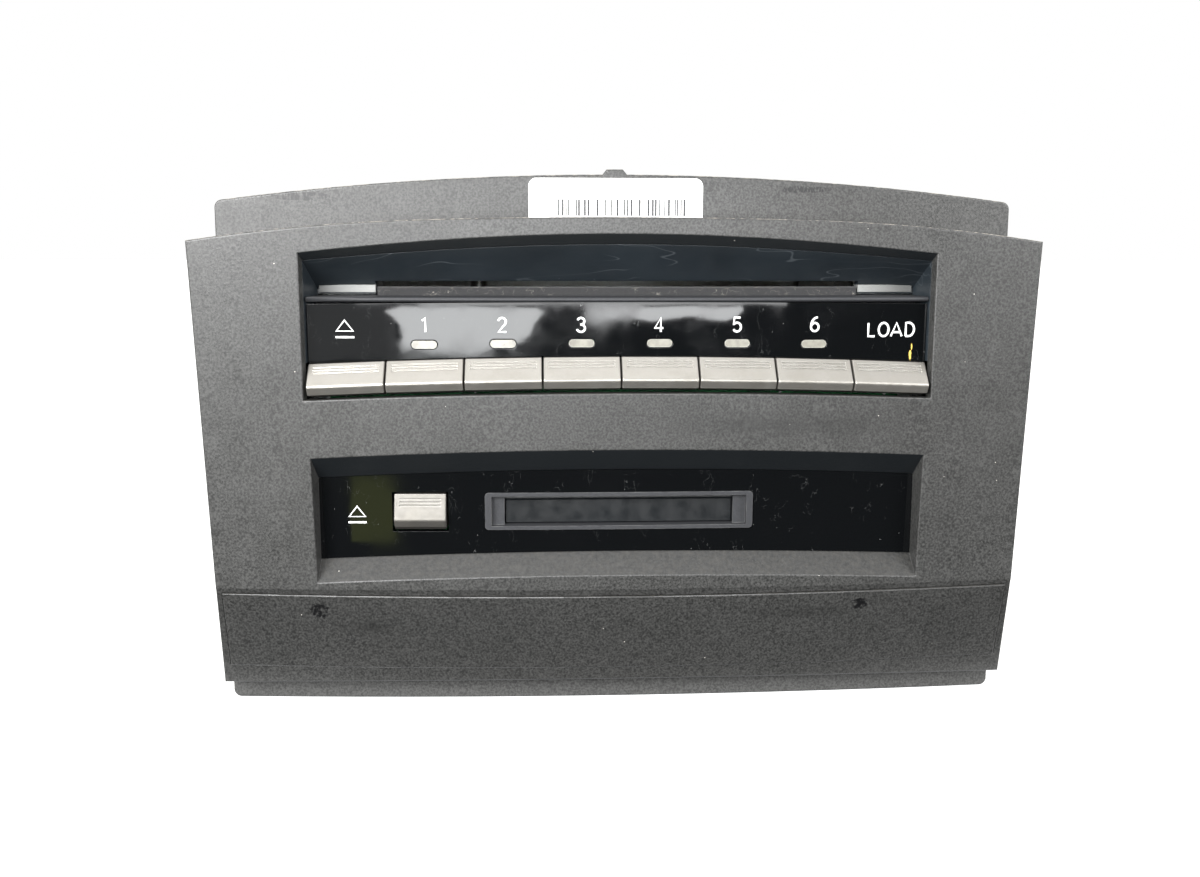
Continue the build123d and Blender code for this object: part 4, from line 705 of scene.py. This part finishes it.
def plastic_material(name, base, roughness, size):
    """Plain injection moulding with a faint skin, flow marks and dust."""
    material, tree, shader = new_material(name, base, roughness)
    where = millimetres(tree)
    skin = noise(tree, where, size, 3.0)
    flow = between(tree, noise(tree, where, 12.0, 3.0), 0.35, 0.65)
    tone = mixed(tree, flow, times(base, 0.8), times(base, 1.12))
    tone = mixed(tree, specks(tree, where, 3.5, 0.12, 0.4), tone, linear("8D8B86"))
    rough = between(tree, skin, 0.3, 0.7, roughness - 0.06, roughness + 0.08)
    drive(tree, shader, Base_Color=tone, Roughness=rough)
    drive(tree, shader, Normal=bumped(tree, skin, 0.03, 0.4, rounded(tree, 0.2 * MM)))
    return material


def board_material():
    """Solder resist over glass cloth: copper runs show through as raised paler lines."""
    base = looks().board
    material, tree, shader = new_material("solder_resist", base, 0.3)
    where = millimetres(tree)
    inputs = {
        "Vector": where, "Scale": 0.42, "Color1": (1, 1, 1, 1), "Color2": (0, 0, 0, 1),
        "Mortar": (0.5, 0.5, 0.5, 1), "Mortar Size": 0.06, "Brick Width": 2.6, "Row Height": 0.55,
    }
    runs = add_node(tree, "ShaderNodeTexBrick", inputs).outputs["Color"]
    runs = add_node(tree, "ShaderNodeRGBToBW", {0: runs}).outputs[0]
    tone = mixed(tree, between(tree, runs, 0.2, 0.8), base, times(base, 1.8))
    tone = mixed(tree, specks(tree, where, 2.2, 0.45, 0.5), tone, linear("B9BABA"))
    weave = noise(tree, stretched(tree, where, (1, 4, 1)), 0.5, 1.0)
    tone = mixed(tree, between(tree, weave, 0.4, 0.6, 0, 0.25), tone, times(base, 0.6))
    drive(tree, shader, Base_Color=tone, Normal=bumped(tree, runs, 0.05, 0.5))
    return material


class HousingFinish(bpy.types.Operator):
    """Finish the sheet-metal housing, its screws, brackets, sockets and heat sink"""

    bl_idname = "changer.housing"
    bl_label = "Housing"

    def execute(self, context):
        sheet = zinc_material("zinc_sheet", looks().steel, 3.2)
        names = ["front_frame", "base_pan", "side_plate_left", "side_plate_right", "top_cover"]
        finish_nodes(names + ["rear_panel", "mount_brackets"], sheet)
        finish_nodes(["case_screws"], turned_material("plated_screw", looks().plated, 0.3))
        socket = plastic_material("socket_nylon", looks().connector, 0.45, 0.5)
        finish_nodes(["rear_sockets"], socket)
        finish_nodes(["heat_sink"], turned_material("drawn_aluminium", looks().aluminium, 0.38))
        return {"FINISHED"}


class MechanismFinish(bpy.types.Operator):
    """Finish the boards, motors, screws, trays, gears and the card cage"""

    bl_idname = "changer.mechanism"
    bl_label = "Mechanism"

    def execute(self, context):
        plate = zinc_material("zinc_chassis", looks().plated, 2.0)
        finish_nodes(["card_cage", "mech_chassis", "mech_roof", "drive_deck", "clamp_arm"], plate)
        steel = turned_material("ground_steel", looks().plated, 0.24)
        screws = ["lift_screw_left", "lift_screw_right", "lift_screw_rear", "sled_screw"]
        finish_nodes(["sled_rods", "roller_shaft"] + screws, steel)
        motor = turned_material("motor_can", looks().motor, 0.36)
        finish_nodes(["feed_motor", "spindle_motor", "sled_motor"], motor)
        finish_nodes(["front_board", "main_board"], board_material())
        nylon = plastic_material("black_nylon", looks().connector, 0.5, 0.4)
        finish_nodes(["key_switches", "card_connector"], nylon)
        rubber = plastic_material("roller_rubber", looks().rubber, 0.85, 0.25)
        finish_nodes(["feed_roller", "deck_dampers"], rubber)
        acetal = plastic_material("natural_acetal", looks().gear, 0.42, 0.8)
        trays = [f"disc_tray_{n}" for n in range(1, 7)]
        finish_nodes(["feed_pinion", "pickup_sled", "turntable"] + trays, acetal)
        return {"FINISHED"}


# ---- printed markings ----------------------------------------------------------------------------
def mark_material():
    """Screen-printed pale ink with tiny pinholes."""
    base = looks().mark
    material, tree, shader = new_material("printed_ink", base, 0.5)
    where = millimetres(tree)
    patchy = between(tree, noise(tree, where, 0.5, 2.0), 0.3, 0.7)
    tone = mixed(tree, patchy, times(base, 0.82), base)
    tone = mixed(tree, specks(tree, where, 0.7, 0.06, 0.3), tone, linear("3A3A3A"))
    drive(tree, shader, Base_Color=tone)
    return material


def glyph(name, letter, x, z, height, depth, material):
    """One printed digit or letter on the bowed front."""
    strokes = [[(u * height, v * height) for u, v in stroke] for stroke in GLYPHS[letter]]
    mesh = stroke_mesh(name, strokes, looks().stroke / MM)
    on_front(mesh, x, z, depth, PRINT_THICK)
    return place_piece(name, mesh, material, "unit")


def eject_symbol(name, x, z, depth, material):
    """Open triangle above a bar."""
    stroke = looks().stroke / MM
    triangle = [(-2.1, -0.55), (2.1, -0.55), (0, 2.1)]
    mesh = stroke_mesh(name + "_arrow", [triangle], stroke, closed=True)
    on_front(mesh, x, z, depth, PRINT_THICK)
    place_piece(name + "_arrow", mesh, material, "unit")
    mesh = stroke_mesh(name + "_bar", [[(-2.3, -2.05), (2.3, -2.05)]], stroke)
    on_front(mesh, x, z, depth, PRINT_THICK)
    place_piece(name + "_bar", mesh, material, "unit")


class Markings(bpy.types.Operator):
    """Print the disc numbers, the load word and the eject symbols"""

    bl_idname = "changer.markings"
    bl_label = "Printed markings"

    def execute(self, context):
        ink = mark_material()
        tall = (looks().digit_height - looks().stroke) / MM
        for n, x in enumerate(DIGIT_X, 1):
            glyph(f"digit_{n}", str(n), x, DIGIT_Z, tall, STRIP_FRONT, ink)
        for n, (letter, x) in enumerate(zip("LOAD", LOAD_X), 1):
            glyph(f"load_{n}", letter, x, LOAD_Z, LOAD_HEIGHT, STRIP_FRONT, ink)
        eject_symbol("disc_eject", *DISC_EJECT, STRIP_FRONT, ink)
        eject_symbol("card_eject", *CARD_EJECT, PANEL_FRONT, ink)
        return {"FINISHED"}


def paper_material():
    """Coated paper with a faint tooth and slightly aged patches."""
    base = looks().paper
    material, tree, shader = new_material("coated_paper", base, 0.6)
    where = millimetres(tree)
    tooth = noise(tree, where, 0.15, 3.0)
    aged = between(tree, noise(tree, where, 7.0, 3.0), 0.4, 0.7, 0, 0.5)
    tone = mixed(tree, aged, base, linear("D2D0C8"))
    drive(tree, shader, Base_Color=tone, Normal=bumped(tree, tooth, 0.01, 0.4))
    return material


def ink_material():
    """Thermal print, slightly uneven."""
    base = looks().ink
    material, tree, shader = new_material("thermal_print", base, 0.6)
    where = millimetres(tree)
    faint = between(tree, noise(tree, where, 0.4, 2.0), 0.4, 0.7)
    tone = mixed(tree, faint, base, times(base, 2.5))
    drive(tree, shader, Base_Color=tone)
    return material


class Sticker(bpy.types.Operator):
    """Put the plain sticker with its row of bars on the collar"""

    bl_idname = "changer.sticker"
    bl_label = "Sticker"

    def execute(self, context):
        sizes = (STICKER_HALF, STICKER_LOW, STICKER_HIGH, STICKER_CORNER)
        mesh = plate_mesh("sticker", *sizes)
        on_front(mesh, STICKER_X, 0, VISOR_FRONT, 0.16)
        place_piece("sticker", mesh, paper_material(), "unit", smooth=False)
        rows = random.Random(6)
        bm = bmesh.new()
        x = BAR_FIRST
        while x < BAR_LAST:
            wide = rows.choice((0.18, 0.18, 0.36, 0.54))
            low = [(x, -1, BAR_LOW), (x + wide, -1, BAR_LOW)]
            quad = low + [(x + wide, -1, BAR_HIGH), (x, -1, BAR_HIGH)]
            bm.faces.new([bm.verts.new(corner) for corner in quad])
            x += wide + rows.choice((0.2, 0.2, 0.38, 0.56))
        mesh = bpy.data.meshes.new("sticker_bars")
        bm.to_mesh(mesh)
        bm.free()
        on_front(mesh, 0, 0, VISOR_FRONT, 0.2)
        place_piece("sticker_bars", mesh, ink_material(), "unit", smooth=False)
        return {"FINISHED"}


# ---- studio --------------------------------------------------------------------------------------
def area_light(name, place, target, size, watts, colour=(1, 1, 1)):
    """Square softbox aimed at a point. Places in millimetres."""
    light = bpy.data.lights.new(name, "AREA")
    light.shape = "SQUARE"
    light.size = size * MM
    light.energy = watts
    light.color = colour
    lamp = bpy.data.objects.new(name, light)
    lamp.location = Vector(place) * MM
    toward = Vector(target) * MM - lamp.location
    lamp.rotation_euler = toward.to_track_quat("-Z", "Y").to_euler()
    lamp.visible_camera = False
    bpy.context.scene.collection.objects.link(lamp)
    return lamp


def card(name, corners, material):
    """Flat card that only reflections and bounced light see."""
    bm = bmesh.new()
    bm.faces.new([bm.verts.new(Vector(corner) * MM) for corner in corners])
    mesh = bpy.data.meshes.new(name)
    bm.to_mesh(mesh)
    bm.free()
    mesh.materials.append(material)
    piece = bpy.data.objects.new(name, mesh)
    bpy.context.scene.collection.objects.link(piece)
    piece.visible_camera = False
    piece.visible_shadow = False
    return piece


def mirrored(x, z, away):
    """Point this far in front of the face that the camera sees in the gloss strip at x, z."""
    reach = FACE_Y + STRIP_FRONT - CAMERA[1]
    across = x + away * ((x - CAMERA[0]) / reach + 2 * x / FACE_RADIUS)
    return across, FACE_Y - away, z - (CAMERA[2] - z) * away / reach


def glowing(name, colour, strength):
    """Evenly lit card."""
    material, _, shader = new_material(name, (0, 0, 0), 1.0)
    shader.inputs["Specular IOR Level"].default_value = 0.0
    shader.inputs["Emission Color"].default_value = (*colour, 1.0)
    shader.inputs["Emission Strength"].default_value = strength
    return material


class Studio(bpy.types.Operator):
    """Set up the floor, the soft lights, the reflection cards and the camera"""

    bl_idname = "changer.studio"
    bl_label = "Studio"

    def execute(self, context):
        scene = context.scene
        scene.view_settings.view_transform = "Standard"
        self.world(scene)
        self.floor()
        self.lights()
        self.cards()
        self.camera(scene)
        return {"FINISHED"}

    def world(self, scene):
        """White behind the object, and a dim room for everything else."""
        world = bpy.data.worlds.new("studio")
        world.use_nodes = True
        tree = world.node_tree
        sky = tree.nodes["Background"]
        sky.inputs[0].default_value = (1.0, 1.0, 1.0, 1.0)
        toward = add_node(tree, "ShaderNodeTexCoord").outputs["Generated"]
        height = add_node(tree, "ShaderNodeSeparateXYZ", {0: toward}).outputs["Z"]
        room = between(tree, height, -0.04, 0.16, 0.12, 1.5)
        ahead = add_node(tree, "ShaderNodeSeparateXYZ", {0: toward}).outputs["Y"]
        room = calc(tree, "MULTIPLY", room, between(tree, ahead, -1.0, -0.75, 0.2, 1.0))
        seen = add_node(tree, "ShaderNodeLightPath").outputs["Is Camera Ray"]
        others = calc(tree, "MULTIPLY", calc(tree, "SUBTRACT", 1.0, seen), room)
        tree.links.new(calc(tree, "ADD", seen, others), sky.inputs[1])
        scene.world = world

    def floor(self):
        """Plain pale floor under the feet."""
        bm = bmesh.new()
        bmesh.ops.create_grid(bm, x_segments=2, y_segments=2, size=FLOOR_HALF)
        mesh = bpy.data.meshes.new("floor")
        bm.to_mesh(mesh)
        bm.free()
        material, _, shader = new_material("pale_floor", times(looks().floor, FLOOR_SHARE), 0.9)
        shader.inputs["Emission Color"].default_value = (1, 1, 1, 1)
        shader.inputs["Emission Strength"].default_value = FLOOR_GLOW
        material.cycles.emission_sampling = "NONE"  # so that the dark table hides its glow
        mesh.materials.append(material)
        piece = bpy.data.objects.new("floor", mesh)
        piece.location.z = -FLOOR_DROP * MM
        bpy.context.scene.collection.objects.link(piece)

    def lights(self):
        """Softboxes at the upper left, overhead and upper right."""
        middle = (0, FACE_Y, 80)
        area_light("key_softbox", KEY_PLACE, middle, SIDE_BOX, looks().key_light)
        area_light("top_softbox", TOP_PLACE, middle, TOP_BOX, looks().top_light)
        area_light("fill_softbox", FILL_PLACE, middle, SIDE_BOX, looks().fill_light)

    def cards(self):
        """What the two gloss panels mirror, and a dark table in front of the unit."""
        dark = new_material("dark_card", linear("0C0C0D"), 1.0)[0]
        dark.node_tree.nodes["Principled BSDF"].inputs["Specular IOR Level"].default_value = 0.0
        wide, near, far = TABLE_HALF, TABLE_NEAR, TABLE_FAR
        plan = [(-wide, near), (wide, near), (wide, far), (-wide, far)]
        corners = [(x, y, TABLE_HEIGHT) for x, y in plan]
        card("dark_table", corners, dark)
        at = FACE_Y - WINDOW_AWAY
        bright = glowing("window_light", linear("FCFEFF"), WINDOW_GLOW)
        card("window_left", [mirrored(x, z, WINDOW_AWAY) for x, z in WINDOW_LEFT], bright)
        card("window_right", [mirrored(x, z, WINDOW_AWAY) for x, z in WINDOW_RIGHT], bright)
        softer = glowing("upper_window_light", linear("FDFEFF"), UPPER_GLOW)
        left, low = mirrored(-66, 105.3, WINDOW_AWAY)[::2]
        right = mirrored(42, 105.3, WINDOW_AWAY)[0]
        corners = [(left, at, low), (right, at, low), (right, at, 200), (left, at, 200)]
        card("upper_window", corners, softer)
        dim = glowing("dim_wall", linear("FFFFFF"), WALL_GLOW)
        left, low = mirrored(-96, 91, WINDOW_AWAY)[::2]
        right, high = mirrored(-56.5, 105.4, WINDOW_AWAY)[::2]
        wall = [(left, low), (right, low), (right, high), (left, high)]
        card("dim_wall", [(x, at - 1, z) for x, z in wall], dim)
        olive = glowing("olive_light", linear("9AA25C"), OLIVE_GLOW)
        plan = [(-111, 160), (-91, 160), (-119, 292), (-145, 292)]
        corners = [(x, FACE_Y - away, 1) for x, away in plan]
        card("olive_card", corners, olive)

    def camera(self, scene):
        """Camera where the photographer stood."""
        data = bpy.data.cameras.new("camera")
        data.sensor_width = 36.0
        data.lens = LENS
        right = Vector((0.99884, -0.04815, 0.0))
        forward = Vector((0.04744, 0.98415, -0.17090))
        upward = Vector((0.00823, 0.17070, 0.98529))
        roll = radians(0.13)
        across = cos(roll) * right + sin(roll) * upward
        upward = cos(roll) * upward - sin(roll) * right
        camera = bpy.data.objects.new("camera", data)
        turn = Matrix((across, upward, -forward)).transposed()
        camera.matrix_world = Matrix.Translation(Vector(CAMERA) * MM) @ turn.to_4x4()
        scene.collection.objects.link(camera)
        scene.camera = camera


OPERATORS = (
    FasciaFinish, BlackMouldings, KeyFinish, SlotDetails, HousingFinish, MechanismFinish,
    Markings, Sticker, Studio,
)


class ChangerPanel(bpy.types.Panel):
    """Lists the operators in the order they run"""

    bl_idname = "VIEW3D_PT_changer"
    bl_label = "Changer"
    bl_space_type = "VIEW_3D"
    bl_region_type = "UI"
    bl_category = "Changer"

    def draw(self, context):
        for operator in OPERATORS:
            self.layout.operator(operator.bl_idname)


def register():
    """Make the settings, the operators and the panel known."""
    for part in (ChangerLooks, *OPERATORS, ChangerPanel):
        bpy.utils.register_class(part)
    bpy.types.Scene.changer_looks = bpy.props.PointerProperty(type=ChangerLooks)


def unregister():
    """Take them away again."""
    del bpy.types.Scene.changer_looks
    for part in reversed((ChangerLooks, *OPERATORS, ChangerPanel)):
        bpy.utils.unregister_class(part)


def main():
    """Make the settings known, then run every operator in order."""
    register()
    for operator in OPERATORS:
        group, name = operator.bl_idname.split(".")
        getattr(getattr(bpy.ops, group), name)()


if __name__ == "__main__":
    main()
